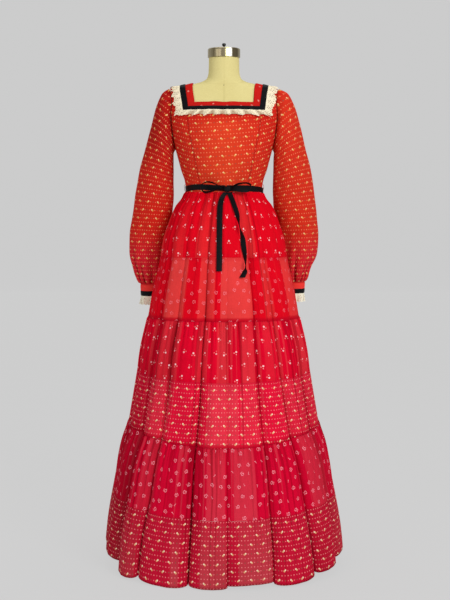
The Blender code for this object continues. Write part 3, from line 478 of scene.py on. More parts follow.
def dotRowsGroup():
    # a band of cloth print: rows of two-blob buds with pale and dark dots between, rows of dots halfway
    sizes = {"budStep": 0.0365, "rowStep": 0.025, "blob": 0.0026, "dot": 0.0016, "soft": 0.0008}
    tree, where, out = newGroup("dotRows", "Gold Cream Pale Dark")
    u, v, _ = split(tree, where)
    q = v / sizes["rowStep"]
    row = (q + 0.5).floor()
    y = (q - row) * sizes["rowStep"]
    a = u / sizes["budStep"] + row.op("PINGPONG", 1.0) * 0.5
    column = (a + 0.5).floor()
    x = (a - column) * sizes["budStep"]
    lean = (column + row).op("PINGPONG", 1.0) * 2.0 - 1.0
    soft = sizes["soft"]
    gold = spot(x, y, lean * -0.0017, -0.0012, sizes["blob"], soft)
    cream = spot(x, y, lean * 0.0016, 0.0014, sizes["blob"] * 0.9, soft)
    tree.links.new(gold.socket, out["Gold"])
    tree.links.new(cream.socket, out["Cream"])
    fine = a * 4.0
    index = (fine + 0.5).floor()
    dx = (fine - index) * (sizes["budStep"] / 4)
    onRow = spot(dx, y, 0.0, 0.0, sizes["dot"], soft)
    isBud = index.op("MODULO", 4.0).size().inside(0.5, 0.1)
    isDark = (index.op("MODULO", 4.0).size() - 2.0).size().inside(0.5, 0.1)
    dark = onRow * isDark
    pale = onRow * (isBud * -1 + 1.0) * (isDark * -1 + 1.0) * 0.8
    row2 = q.floor()
    y2 = (q - row2 - 0.5) * sizes["rowStep"]
    b = u / (sizes["budStep"] / 4)
    index2 = (b + 0.5).floor()
    dx2 = (b - index2) * (sizes["budStep"] / 4)
    between = spot(dx2, y2, 0.0, 0.0, sizes["dot"], soft)
    bright = index2.op("PINGPONG", 1.0) * 0.35 + 0.65
    tree.links.new((pale + between * bright).socket, out["Pale"])
    tree.links.new(dark.socket, out["Dark"])
    return tree


def turnedCell(tree, where, step, jitter):
    # a staggered cell's own place, turned and moved at random, with a random number for the cell
    u, v, _ = split(tree, where)
    q = v / step
    row = q.floor()
    a = u / step + row.op("PINGPONG", 1.0) * 0.5
    column = a.floor()
    noise = place(tree, "ShaderNodeTexWhiteNoise", noise_dimensions="3D")
    tree.links.new(joined(tree, column, row, 3.7), noise.inputs["Vector"])
    r1, r2, r3 = split(tree, noise.outputs["Color"])
    x = (a - column - 0.5 + (r1 - 0.5) * jitter) * step
    y = (q - row - 0.5 + (r2 - 0.5) * jitter) * step
    half = (r3 * 2.0).floor() * math.pi
    turn = half + ((r3 * 2.0).part() - 0.5) * 1.9
    c, s = turn.op("COSINE"), turn.op("SINE")
    return x * c - y * s, x * s + y * c, Flow(tree, noise.outputs["Value"])


def scatterGroup():
    # single white dots, each with two small pink leaf dots in a v, pointing up or down with a random lean
    sizes = {"step": 0.0365, "dot": 0.0027, "leaf": 0.0017, "soft": 0.0007}
    tree, where, out = newGroup("scatter", "White Pink")
    x, y, chance = turnedCell(tree, where, sizes["step"], 0.30)
    soft = sizes["soft"]
    white = spot(x, y, 0.0, -0.0022, sizes["dot"], soft)
    leaves = spot(x, y, -0.0042, 0.0036, sizes["leaf"], soft)
    leaves = leaves + spot(x, y, 0.0036, 0.0042, sizes["leaf"], soft)
    bright = chance * 0.5 + 0.5
    tree.links.new((white * bright).socket, out["White"])
    tree.links.new((leaves * bright).socket, out["Pink"])
    return tree


def ringGroup():
    # small pink-white oval outlines with a hook beside them, some cells with the hook alone
    sizes = {"step": 0.0300, "wide": 0.0027, "tall": 0.0041, "line": 0.00055, "soft": 0.0006}
    tree, where, out = newGroup("rings", "Line")
    x, y, chance = turnedCell(tree, where, sizes["step"], 0.40)
    line, soft = sizes["line"], sizes["soft"]
    squeezed = y * (sizes["wide"] / sizes["tall"])
    ring = ((x * x + squeezed * squeezed).op("SQRT") - sizes["wide"]).size().inside(line, soft)
    stem = bar(x, y, 0.0060, -0.0002, 0.0036, line, soft)
    head = bar(y, x, 0.0034, 0.0048, 0.0016, line, soft)
    few = chance.inside(0.72, 0.02)
    tree.links.new((ring * few + stem + head).op("MINIMUM", 1.0).socket, out["Line"])
    return tree


def weaveGroup():
    # voile: fine threads both ways for the bump, slubs and uneven dye for the tone
    tree, where, out = newGroup("voileWeave", "Height Tone")
    u, v, _ = split(tree, where)
    warp, weft = ((way / 0.0009 * (2 * math.pi)).op("SINE") for way in (u, v))
    slub = noiseOf(tree, joined(tree, u * 900.0, v * 60.0), detail=3.0)
    cross = noiseOf(tree, joined(tree, u * 60.0, v * 900.0), detail=3.0)
    dye = noiseOf(tree, where, 22.0)
    threads = slub + cross
    tree.links.new(((warp * weft) * 0.35 + threads).socket, out["Height"])
    tone = (threads - 1.0) * 0.5 + (dye - 0.5) * 0.35
    tree.links.new(tone.socket, out["Tone"])
    return tree


groups = {
    "dotRows": dotRowsGroup(),
    "scatter": scatterGroup(),
    "rings": ringGroup(),
    "weave": weaveGroup(),
}


def useGroup(tree, name, uv):
    node = place(tree, "ShaderNodeGroup", node_tree=groups[name])
    tree.links.new(uv, node.inputs["Map"])
    return {out.name: Flow(tree, out) for out in node.outputs}


def startMaterial(name, roughness, metallic=0.0, specular=0.5):
    material = bpy.data.materials.new(name)
    material.use_nodes = True
    tree = material.node_tree
    shader = tree.nodes["Principled BSDF"]
    shader.inputs["Roughness"].default_value = roughness
    shader.inputs["Metallic"].default_value = metallic
    shader.inputs["Specular IOR Level"].default_value = specular
    return material, tree, shader


def clothPlace(tree):
    return place(tree, "ShaderNodeUVMap", uv_map="clothMap").outputs["UV"]


def objectPlace(tree):
    return place(tree, "ShaderNodeTexCoord").outputs["Object"]


def attributeOf(tree, name):
    node = place(tree, "ShaderNodeAttribute", attribute_name=name)
    return Flow(tree, node.outputs["Fac"])


def bumpTo(tree, shader, height, distance, strength=1.0):
    bump = place(tree, "ShaderNodeBump")
    bump.inputs["Strength"].default_value = strength
    bump.inputs["Distance"].default_value = distance
    tree.links.new(height.socket, bump.inputs["Height"])
    tree.links.new(bump.outputs["Normal"], shader.inputs["Normal"])


# painted shade, and the darker doubled cloth beside the gathers, mix towards this deep red
deepRed = (0.20, 0.0, 0.004)  # linear colours
# painted light: the lower sleeves mix towards this lighter rose
litRoseRed = (0.64, 0.014, 0.034)
# each cloth: base colour, the lighter colour for single layers and for painted light, and the seam allowances'
# colour
voileColours = {
    "bodice": ((0.57, 0.017, 0.010), (0.67, 0.046, 0.016), (0.38, 0.007, 0.006)),
    "upper": ((0.69, 0.0014, 0.011), (0.74, 0.046, 0.044), (0.50, 0.001, 0.012)),
    "middle": ((0.69, 0.0014, 0.021), (0.72, 0.040, 0.052), (0.48, 0.001, 0.014)),
    "lower": ((0.72, 0.006, 0.036), (0.74, 0.044, 0.070), (0.48, 0.001, 0.016)),
    "rings": ((0.61, 0.0015, 0.027), (0.62, 0.036, 0.062), (0.42, 0.001, 0.016)),
    "hem": ((0.51, 0.006, 0.030), (0.48, 0.042, 0.058), (0.40, 0.001, 0.018)),
    "band": ((0.52, 0.012, 0.009), (0.88, 0.050, 0.042), (0.38, 0.006, 0.006)),
}
warmPrint = ((0.84, 0.27, 0.12), (0.70, 0.32, 0.07), (0.85, 0.60, 0.28))  # pale dots, buds' two blobs
pinkPrint = ((0.88, 0.24, 0.24), (0.72, 0.38, 0.18), (0.90, 0.68, 0.48))


def clothMaterial(name, design, base, sheerAndLitColour, seamColour, inks=warmPrint, ringStrength=0.75):
    # printed voile: base colour, lighter where a single layer shows and where light is painted in, darker over
    # seam allowances, a painted lighter rose, painted shade with darker doubled cloth, then the print
    material, tree, shader = startMaterial(name, 0.85, specular=0.03)
    uv = clothPlace(tree)
    weave = useGroup(tree, "weave", uv)
    # lighter where a single layer shows, and painted light on the bodice's middle and the right sleeve
    colour = mixed(tree, attributeOf(tree, "sheerAndLit"), base, sheerAndLitColour)
    colour = mixed(tree, attributeOf(tree, "band"), colour, seamColour)
    # painted light: a lighter rose where the rose mask is set
    colour = mixed(tree, attributeOf(tree, "litRose"), colour, litRoseRed)
    # painted shade in the valleys and on the shaded side, with the darker doubled cloth beside the gathers
    colour = mixed(tree, attributeOf(tree, "deep"), colour, deepRed)
    # the print's marks in the order in which they lie: output, strength and colour
    layers = {
        "dotRows": (
            ("Pale", 0.85, inks[0]),
            ("Dark", 0.75, (0.16, 0.10, 0.06)),
            ("Gold", 0.92, inks[1]),
            ("Cream", 0.92, inks[2]),
        ),
        "scatter": (("Pink", 0.85, (0.95, 0.34, 0.34)), ("White", 0.85, (1.0, 0.70, 0.72))),
        "rings": (("Line", ringStrength, (1.0, 0.40, 0.48)),),
        "plain": (("White", 0.6, (0.85, 0.45, 0.35)),),
    }
    marks = useGroup(tree, "scatter" if design == "plain" else design, uv)
    for mark, strength, ink in layers[design]:
        colour = mixed(tree, marks[mark] * strength, colour, ink)
    shade = place(tree, "ShaderNodeHueSaturation")
    tree.links.new((weave["Tone"] * 0.5 + 1.0).socket, shade.inputs["Value"])
    tree.links.new(colour, shade.inputs["Color"])
    tree.links.new(shade.outputs["Color"], shader.inputs["Base Color"])
    bumpTo(tree, shader, weave["Height"], 0.00025, 0.6)
    return material


bodiceVoile = clothMaterial("dottedVoile", "dotRows", *voileColours["bodice"])
bandVoile = clothMaterial("bandVoile", "plain", *voileColours["band"])
scatterVoile = clothMaterial("buddedVoile", "scatter", *voileColours["upper"])
ringVoile = clothMaterial("ringedVoile", "rings", *voileColours["upper"], ringStrength=0.4)
crimsonVoile = clothMaterial("crimsonBuddedVoile", "scatter", *voileColours["middle"])
lowerDots = clothMaterial("lowerDottedVoile", "dotRows", *voileColours["lower"], pinkPrint)
hemRings = clothMaterial("hemRingedVoile", "rings", *voileColours["rings"])
hemDots = clothMaterial("hemDottedVoile", "dotRows", *voileColours["hem"], pinkPrint)


def ribbonMaterial():
    # black satin ribbon: fine ribs across and uneven threads
    material, tree, shader = startMaterial("blackSatinRibbon", 0.36, specular=0.08)
    uv = clothPlace(tree)
    u, v, _ = split(tree, uv)
    ribs = (u * (2 * math.pi / 0.0007)).op("SINE")
    grain = noiseOf(tree, joined(tree, u * 90.0, v * 2500.0))
    colour = mixed(tree, grain, (0.0012, 0.0015, 0.0016), (0.005, 0.006, 0.008))
    tree.links.new(colour, shader.inputs["Base Color"])
    tree.links.new((grain * 0.25 + 0.34).socket, shader.inputs["Roughness"])
    bumpTo(tree, shader, ribs * 0.3 + grain, 0.0002, 0.5)
    return material


satinRibbon = ribbonMaterial()


def laceMaterial(name, tint):
    # eyelet lace: round holes in flower groups and along the scallops, raised thread round each hole
    material, tree, shader = startMaterial(name, 0.9, specular=0.1)
    uv = clothPlace(tree)
    u, v, _ = split(tree, uv)
    step = 0.021
    x = ((u / step).part() - 0.5) * step
    y = v - 0.0125
    away = (x * x + y * y).op("SQRT")
    petal = (y.op("ARCTAN2", x) * 5.0).op("COSINE")
    ring = (away - 0.0042 - petal * 0.0002).size()
    petals = ring.inside(0.0010, 0.0004) * (petal * -1).inside(-0.45, 0.3)
    middle = away.inside(0.0008, 0.0003)
    x2 = ((u / (step / 3)).part() - 0.5) * (step / 3)
    edge = spot(x2, v, 0.0, 0.0205, 0.0010, 0.0003)
    head = spot(x2, v, 0.0, 0.0040, 0.0005, 0.0003)
    holes = (petals + middle + edge + head).op("MINIMUM", 1.0) * 0.75
    scallop = ((u * (math.pi / (step / 2))).op("SINE")).size() * 0.0022
    outside = (v - scallop).inside(0.0236, 0.0003)
    tree.links.new(((holes * -1 + 1.0) * outside).socket, shader.inputs["Alpha"])
    rim = ring.inside(0.0024, 0.0012) + spot(x2, v, 0.0, 0.0205, 0.0019, 0.0008)
    border = (v - scallop).inside(0.0222, 0.0006)
    raised = rim * 0.5 + (border * -1 + 1.0)
    grain = noiseOf(tree, uv, 700.0)
    colour = mixed(tree, grain, tuple(0.78 * c for c in tint), tint)
    # painted shade in the ruffles' valleys, by the fold mask
    colour = mixed(tree, attributeOf(tree, "fold"), colour, (0.34, 0.20, 0.11))
    # the holes painted dark, as the shade seen through them
    colour = mixed(tree, holes, colour, (0.10, 0.05, 0.03))
    tree.links.new(colour, shader.inputs["Base Color"])
    bumpTo(tree, shader, raised + grain * 0.5, 0.0006, 0.8)
    return material


neckEyelet = laceMaterial("ivoryEyeletLace", (0.97, 0.86, 0.62))
cuffEyelet = laceMaterial("whiteEyeletLace", (1.0, 0.94, 0.74))


def linenMaterial():
    # natural yellow linen: crossed slubby threads, darker in its seams, a pin's mark at the neck
    material, tree, shader = startMaterial("yellowLinen", 0.9, specular=0.08)
    where = objectPlace(tree)
    x, y, z = split(tree, where)
    upright = noiseOf(tree, joined(tree, x * 160.0, y * 160.0, z * 1600.0), detail=3.0)
    level = noiseOf(tree, joined(tree, x * 1600.0, y * 1600.0, z * 160.0), detail=3.0)
    grain = (upright + level) * 0.5
    colour = mixed(tree, (grain - 0.25) * 2.0, (0.55, 0.46, 0.17), (0.74, 0.65, 0.28))
    colour = mixed(tree, noiseOf(tree, where, 14.0) * 0.35, colour, (0.82, 0.74, 0.38))
    colour = mixed(tree, attributeOf(tree, "seam") * 0.35, colour, (0.50, 0.42, 0.16))
    dx, dz = x + 0.0005, z - 1.4235
    pin = (dx * dx + dz * dz).op("SQRT").inside(0.0016, 0.0008) * y.inside(0.0, 0.001)
    colour = mixed(tree, pin * 0.7, colour, (0.12, 0.09, 0.04))
    tree.links.new(colour, shader.inputs["Base Color"])
    bumpTo(tree, shader, grain, 0.0005, 0.7)
    return material


def brassMaterial():
    # pale polished brass: dull patches, and the studio's streaks painted in as bands of tone: painted
    # highlights and painted shade
    material, tree, shader = startMaterial("paleBrass", 0.24, metallic=1.0)
    where = objectPlace(tree)
    x, y, z = split(tree, where)
    turn = y.op("ARCTAN2", x)
    dull = ((noiseOf(tree, joined(tree, turn * 5.0, z * 1.5)) - 0.5) * 2.5 + 0.5).op("ADD", 0.0, clamp=True)
    colour = mixed(tree, dull, (0.20, 0.16, 0.085), (0.50, 0.43, 0.27))
    # painted highlights: two bright streaks between darker painted-shade flanks: angle right of the front, half
    # width, strength and tone
    for angle, wide, strength, tone in (
        (-12.0, 9.0, 0.45, (0.22, 0.17, 0.11)),
        (12.5, 6.0, 0.9, (1.0, 0.98, 0.50)),
        (25.0, 4.5, 0.9, (1.0, 0.98, 0.90)),
        (45.0, 14.0, 0.75, (0.13, 0.10, 0.055)),
    ):
        near = (turn - math.radians(angle - 90.0)).size().inside(math.radians(wide), math.radians(5.0))
        colour = mixed(tree, near * strength, colour, tone)
    tree.links.new(colour, shader.inputs["Base Color"])
    tree.links.new((dull * -0.10 + 0.36).socket, shader.inputs["Roughness"])
    return material


def hardMaterial(name, dark, light, roughness, metallic, scale):
    # paint or plastic with slight mottling in its colour, gloss and bump
    material, tree, shader = startMaterial(name, roughness, metallic=metallic)
    where = objectPlace(tree)
    mottle = noiseOf(tree, where, scale, 5.0)
    tree.links.new(mixed(tree, mottle, dark, light), shader.inputs["Base Color"])
    tree.links.new((mottle * 0.3 + roughness - 0.15).socket, shader.inputs["Roughness"])
    bumpTo(tree, shader, mottle, 0.00015, 0.5)
    return material


linen = linenMaterial()
brass = brassMaterial()
blackPlastic = hardMaterial("blackPlastic", (0.003, 0.003, 0.003), (0.010, 0.010, 0.010), 0.46, 0.0, 300.0)
paintedSteel = hardMaterial("paintedSteel", (0.018, 0.018, 0.019), (0.040, 0.040, 0.042), 0.48, 0.0, 120.0)
zipEnamel = hardMaterial("redEnamel", (0.30, 0.010, 0.010), (0.45, 0.030, 0.020), 0.34, 0.3, 500.0)
print("stage: materials made")


# bodice: five panels lying on the body, their edges tucked into the seams

bodice = {
    "seamTuck": 0.0009,  # how far an edge dips into its seam
    "tuckWidth": 0.0035,
    "wrinkle": 0.0007,
    "frontGrain": -4.0,  # degrees the print leans on the front panel
    "frontBow": 0.35,  # and how its rows bend up to the side
    "sideGrain": 14.0,
    "rows": 190,
}
armhole = {"centre": 1.325, "halfHeight": 0.088, "front": 0.030, "back": 0.040}
neck = {
    "front": 1.374,
    "back": 1.398,
    "shoulderX": 0.0925,
    "cornerX": 0.085,
    "frontRate": 0.66,
    "cornerRate": 0.88,
    "backRate": 0.9,
    "bandWidth": 0.022,
    "ribbonWidth": 0.0155,
    "laceWidth": 0.026,
}


def armholeAngle(height, back):
    # the armhole is an ellipse seen from the side, cut through the body along X
    turn = np.clip((height - armhole["centre"]) / armhole["halfHeight"], -1, 1)
    reach = np.sqrt(1 - turn * turn)
    y = armhole["back" if back else "front"] * reach
    depth = readTable(bodySections, "back" if back else "front", height)
    angle = math.pi / 2 - np.arcsin(y / depth) - seamGap / 2 / depth
    return math.pi - angle if back else angle


def trimX(width, q):
    top = neck["shoulderX"] + width
    corner = neck["cornerX"] + neck["cornerRate"] * width
    return top + (corner - top) * q * q


def frontEdge(width):
    return neck["front"] - neck["frontRate"] * width


def backEdge(width):
    return neck["back"] - neck["backRate"] * width


def panelLineAngle(height, back):
    # the princess line, and above the neckline's corner the band's outer side
    width = neck["bandWidth"] + seamGap / 2
    end = backEdge(width) if back else frontEdge(width)
    q = np.linspace(1, 0, 60)
    xSide = trimX(width, q)
    zSide = ridgeHeight(xSide) - (ridgeHeight(xSide) - end) * q * q
    x = np.where(height > end, np.interp(height, zSide, xSide), readTable(princessLine, "x", height))
    angle = bodyAngle(x, height)
    return math.pi - angle if back else angle


def panelPoints(angles, heights, side, seed):
    # the body's surface plus cloth: edges dip into the seams, soft drag lines elsewhere;
    # and how dark the seam allowance shows
    heights = np.broadcast_to(heights, angles.shape)
    flat = onBody(angles, heights, clothLift)
    across = lengthsAlong(flat, 0)
    far = across[-1:] - across
    nearest = np.minimum(across, far)
    edge = ease(0, bodice["tuckWidth"], nearest)
    drag = clothNoise(across / 0.05 + heights / 0.09, heights / 0.045 - across / 0.2, seed)
    fine = clothNoise(across / 0.014, heights / 0.03 + across / 0.03, seed + 1)
    nearSeam = np.exp(-nearest / 0.012)
    pucker = softNoise(heights / 0.006, seed + 2) * nearSeam
    lift = clothLift - bodice["seamTuck"] * (1 - edge)
    lift = lift + bodice["wrinkle"] * (0.5 * drag + 0.18 * fine + 0.35 * pucker * edge)
    points = onBody(angles, heights, np.maximum(lift, 0.0003))
    points[..., 0] *= side
    return points, 0.6 * np.exp(-((nearest / 0.0030) ** 2))


def addPanel(name, angles, heights, side, seed, grain, bow=0.0):
    points, band = panelPoints(angles, heights, side, seed)
    uv = clothMap(points, angles.shape[0] // 2)
    uv[..., 0] *= side
    uv = turnMap(uv, grain) + seed * 0.013
    uv[..., 1] -= bow * points[..., 0] ** 2
    # painted light: the front's middle lighter and warmer up to the upper chest, as lit, darker towards the
    # sides
    litCentre = np.exp(-((points[..., 0] / 0.085) ** 2)) * ease(1.34, 1.30, points[..., 2])
    values = {"sheerAndLit": litCentre, "band": band}
    piece = gridPiece(name, points, uv, bodiceVoile, inward=side < 0, values=values)
    declareCloth(piece, name, points)


def makeBodice():
    share = np.linspace(0, 1, bodice["rows"])
    top = frontEdge(neck["bandWidth"] + seamGap / 2) + 0.004
    heights = waist + seamGap / 2 + (top - waist) * share
    line = panelLineAngle(heights, False) - 0.0013
    angles = line[None] * np.linspace(-1, 1, 120)[:, None]
    addPanel("bodice_front", angles, heights, 1, 11, bodice["frontGrain"], bow=bodice["frontBow"])
    shoulder = 1.4235
    rise = np.concatenate([share * 0.9, 0.9 + 0.1 * np.sin(np.linspace(0, 1, 61)[1:] * math.pi / 2)])
    heights = waist + seamGap / 2 + (shoulder - waist) * rise
    line, edge = panelLineAngle(heights, False) + 0.0013, armholeAngle(heights, False)
    angles = line[None] + (edge - line)[None] * np.linspace(0, 1, 72)[:, None]
    for side, word in bothSides:
        addPanel(f"bodice_side_front_{word}", angles, heights, side, 20 + side, -side * bodice["sideGrain"])
    centre = np.full(heights.shape, math.pi - 0.0017)
    line, edge = panelLineAngle(heights, True), armholeAngle(heights, True)
    toLine = centre[None] + (line - centre)[None] * np.linspace(0, 1, 60)[:, None]
    toEdge = line[None] + (edge - line)[None] * np.linspace(0, 1, 60)[1:, None]
    angles = np.concatenate([toLine, toEdge])
    cut = backEdge(neck["bandWidth"]) + 0.003
    keep = np.ones((len(angles) - 1, len(heights) - 1), bool)
    keep[:59, heights[:-1] > cut] = False
    for side, word in bothSides:
        points, band = panelPoints(angles, heights, side, 30 + side)
        uv = clothMap(points, 60)
        uv[..., 0] *= side
        # rows run the other way round the back, so the faces turn over
        name = f"bodice_back_{word}"
        piece = gridPiece(name, points, uv, bodiceVoile, inward=side > 0, values={"band": band}, keep=keep)
        declareCloth(piece, name, points)


makeBodice()
print("stage: bodice made")


# neckline: plain band, black ribbon and eyelet lace, mitred at the corners

neckTrim = {
    "bandLift": 0.0022,
    "ribbonLift": 0.0040,
    "laceLift": 0.0034,
    "waveLift": 0.0095,  # how far the lace's front ruffles stand off
    "waveWidth": 0.0165,
    "waves": 8,
    "sideWave": 0.0045,
    "stray": 0.0013,  # how far the band's and ribbon's edges wander
    "backGap": 0.004,
}


def trimPoint(s, width):
    # s runs -3 to 3 from centre back over the left shoulder: |s| < 1 is the front edge, 1 to 2 the
    # shoulder (height falls from the ridge by q squared), 2 to 3 the back edge
    s, width = np.broadcast_arrays(np.asarray(s, float), np.asarray(width, float))
    side, spotAt = np.sign(s), np.abs(s)
    q = np.clip(3 - 2 * spotAt, -1, 1)
    front = spotAt <= 1.5
    end = np.where(front, frontEdge(width), backEdge(width))
    across = trimX(width, q)
    x = np.where(spotAt < 1, across * spotAt, np.where(spotAt > 2, across * (3 - spotAt), across))
    ridge = ridgeHeight(x)
    height = np.where((spotAt < 1) | (spotAt > 2), end, ridge - (ridge - end) * q * q)
    angle = np.arcsin(np.clip(x / readTable(bodySections, "halfWidth", height), -1, 1))
    angle = np.where(front, angle, math.pi - angle)
    return angle * np.where(side == 0, 1, side), height


def trimPath(front, shoulder, back):
    half = np.concatenate(
        [
            np.linspace(3 - neckTrim["backGap"], 2, back + 1)[:-1],
            np.linspace(2, 1, shoulder + 1)[:-1],
            np.linspace(1, 0, front // 2 + 1),
        ]
    )
    return np.concatenate([-half, half[-2::-1]])


def makeNeckline():
    path = trimPath(200, 90, 60)
    rows = np.linspace(0, 1, 13)
    widths = neck["bandWidth"] * rows
    stray = neckTrim["stray"] * softNoise(path * 3.3 + 40, 44)[:, None]
    angle, height = trimPoint(path[:, None], widths[None] + stray * (1.4 - rows)[None])
    roll = 0.1 + 0.9 * ease(0, 0.14, rows)
    wobble = clothNoise(path[:, None] * 9, rows[None] * 2, 41) * 0.0003
    lift = neckTrim["bandLift"] * (0.55 + 0.45 * roll[None]) + wobble * np.sin(rows * math.pi)[None]
    points = onBody(angle, height, np.maximum(lift, 0.0011))
    # the inner edge turns under the form's side of the band
    under = onBody(angle[:, :1], height[:, :1] + 0.0002, 0.0006)
    points = np.concatenate([under, points], 1)
    length = lengthsAlong(points, 0).mean(1)
    uv = stacked(length[:, None], np.concatenate([[-0.001], widths])[None])
    band = np.concatenate([[0.3], 0.5 * (1 - ease(0, 0.10, rows)) + 0.4 * ease(0.9, 1, rows)])
    piece = gridPiece("neck_band", points, uv, bandVoile, values={"band": band[None]}, inward=True)
    declareCloth(piece, "neck_band", points)

    start, end = neck["bandWidth"] - 0.0008, neck["bandWidth"] + neck["ribbonWidth"]
    widths = start + (end - start) * np.linspace(0, 1, 9)
    angle, height = trimPoint(path[:, None], widths[None] + stray * np.linspace(0.4, 0.9, 9)[None])
    crown = np.sin(np.linspace(0, 1, 9) * math.pi) ** 0.5
    wobble = clothNoise(path[:, None] * 14, widths[None] * 90, 43) * 0.0002
    lift = neckTrim["ribbonLift"] + 0.0005 * crown[None] + wobble
    points = onBody(angle, height, lift)
    length = lengthsAlong(points, 0).mean(1)
    uv = stacked(length[:, None], (widths - start)[None])
    piece = gridPiece("neck_ribbon", points, uv, satinRibbon, inward=True)
    declareCloth(piece, "neck_ribbon", points)

    path = trimPath(420, 150, 110)
    rows = np.linspace(0, 1, 17)
    begin = end - 0.004
    widths = begin + (neck["laceWidth"] + 0.002) * rows
    onFront = 1 - ease(0.86, 1.0, np.abs(path))
    swing = softNoise(path * 4.0, 47) * 0.9
    phase = path * neckTrim["waves"] * math.pi / 2 + swing
    wave = np.sin(phase) ** 2
    uneven = 0.7 + 0.5 * softNoise(path * 6.0, 48)
    beside = 1 - onFront
    reach = neckTrim["waveWidth"] * (wave - 0.25) * onFront * uneven + 0.0034 * np.sin(phase * 4) * beside
    wide = widths[None] + reach[:, None] * rows[None] ** 1.3
    angle, height = trimPoint(path[:, None], wide)
    standing = neckTrim["waveLift"] * wave * onFront + neckTrim["sideWave"] * beside * np.sin(phase * 2) ** 2
    lift = neckTrim["laceLift"] + standing[:, None] * rows[None] ** 1.2
    points = onBody(angle, height, lift)
    points[..., 0] += (np.sin(phase * 2) * 0.0060 * onFront)[:, None] * rows[None] ** 1.4
    length = lengthsAlong(points, 0)[:, 8] * 1.05
    uv = stacked(length[:, None], (rows * 0.026)[None])
    # painted shade in the front ruffles' valleys and in the side waves' hollows
    fold = 0.75 * ((1 - wave) ** 3 * onFront)[:, None] * ease(0.1, 0.5, rows)[None]
    fold = fold + 0.15 * ((1 - np.sin(phase * 4)) * 0.5 * beside)[:, None] * ease(0.3, 0.9, rows)[None]
    piece = gridPiece("neck_lace", points, uv, neckEyelet, inward=True, values={"fold": fold})
    declareCloth(piece, "neck_lace", points)


makeNeckline()
print("stage: neckline made")


# skirt: six strips on one surface, gathered at the top of each tier

skirt = {
    "gatherDepth": 0.0019,
    "creaseDepth": 0.0045,  # soft folds that run down from the gathers
    "overlap": 0.42,  # how much darker the doubled cloth beside a gather is
    "single": 0.60,  # and how much lighter the single layer beside another
    "swing": 0.010,  # radians the folds wander
    "puff": 0.004,
    "hemTurn": 0.009,
    "square": 0.06,  # how far the skirt's foot swells between front and side, and in front
    "forward": 0.025,
    "seamBand": 0.009,
    "flatSeam": 0.25,
}
# each strip: name, lower edge in front and its rise at the sides, gathered or not, columns, rows, cloth
skirtStrips = (
    ("skirt_strip_1_scatter", 0.925, -0.006, True, 60, 36, scatterVoile),
    ("skirt_strip_2_rings", 0.744, -0.006, False, 60, 30, ringVoile),
    ("skirt_strip_3_scatter", 0.571, 0.005, True, 84, 32, crimsonVoile),
    ("skirt_strip_4_dots", 0.390, 0.030, False, 84, 26, lowerDots),
    ("skirt_strip_5_rings", 0.193, 0.022, True, 108, 28, hemRings),
    ("skirt_strip_6_dots", 0.011, 0.034, False, 108, 20, hemDots),
)
gatherCounts = (6, 6, 12, 12, 16, 16)  # gathers for each fold, by strip
lowerSeams = (0.15, 0.85, 0.15, 0.6, 0.15, 0.3)  # how dark each strip's lower seam allowance shows
# how far the hem swings up at the crest after each valley, from the valley at -86 degrees on
hemLifts = (0.004, -0.022, -0.016, -0.009, 0.002, -0.014, -0.010, 0.004)
hemLifts += (0.004, 0.008, 0.002, 0.006, 0.001, 0.007, 0.003)
# where a single layer of voile shows lighter: strip, angles from the front, strength at top and bottom
sheerZones = (
    (1, -57.8, -40.4, 0.0, 0.3),
    (1, -26.4, -6.0, 0.1, 0.35),
    (1, 15.2, 29.3, 0.3, 0.5),
    (2, -53.0, -32.6, 1.0, 0.9),
    (2, -20.3, -7.0, 0.65, 0.6),
    (2, -2.3, 22.5, 1.0, 0.9),
    (2, 32.2, 42.2, 0.5, 0.4),
    (2, 60.6, 77.6, 0.8, 0.6),
    (3, -51.2, -31.8, 0.5, 0.4),
    (3, -19.1, -11.4, 0.4, 0.4),
    (3, -4.6, 3.4, 0.7, 0.6),
    (3, 11.2, 21.0, 0.4, 0.6),
    (3, 28.0, 35.1, 0.3, 0.2),
    (3, 57.4, 73.1, 0.4, 0.6),
    (4, -55.3, -35.7, 0.4, 0.4),
    (4, -10.2, 8.5, 0.6, 0.6),
    (4, 9.4, 20.9, 0.3, 0.3),
    (4, 39.5, 77.2, 0.25, 0.2),
    (5, -46.2, -36.5, 0.4, 0.3),
    (5, -8.8, 1.0, 0.5, 0.7),
    (5, 5.1, 15.7, 0.6, 0.7),
    (5, 47.8, 65.3, 0.5, 0.5),
    (6, -60.6, -42.2, 0.0, 0.6),
    (6, -23.8, -20.6, 0.0, 1.0),
    (6, -10.9, 1.4, 0.2, 1.0),
    (6, 6.6, 21.6, 0.3, 1.0),
    (6, 62.0, 78.0, 0.3, 0.3),
)


def foldColumns(perFold):
    # each column's angle at waist and hem, its valleys' depth and its place from 0 to 1 in its fold
    s = np.arange(foldCount * perFold + 1) / perFold + 11.5
    i = np.floor(s).astype(int)
    t = s - i
    j = i + 1
    here = {}
    for key in ("topAngle", "hemAngle"):
        low = skirtFolds[key][i % foldCount] + 360 * (i // foldCount)
        high = skirtFolds[key][j % foldCount] + 360 * (j // foldCount)
        here[key] = np.radians(low + (high - low) * t)
    valley = skirtFolds["depth"][i % foldCount] * (1 - t) + skirtFolds["depth"][j % foldCount] * t
    return s, here["topAngle"], here["hemAngle"], valley, t


def seamHeights(front, rise, hemAngle):
    return front + rise * np.sin(hemAngle) ** 2


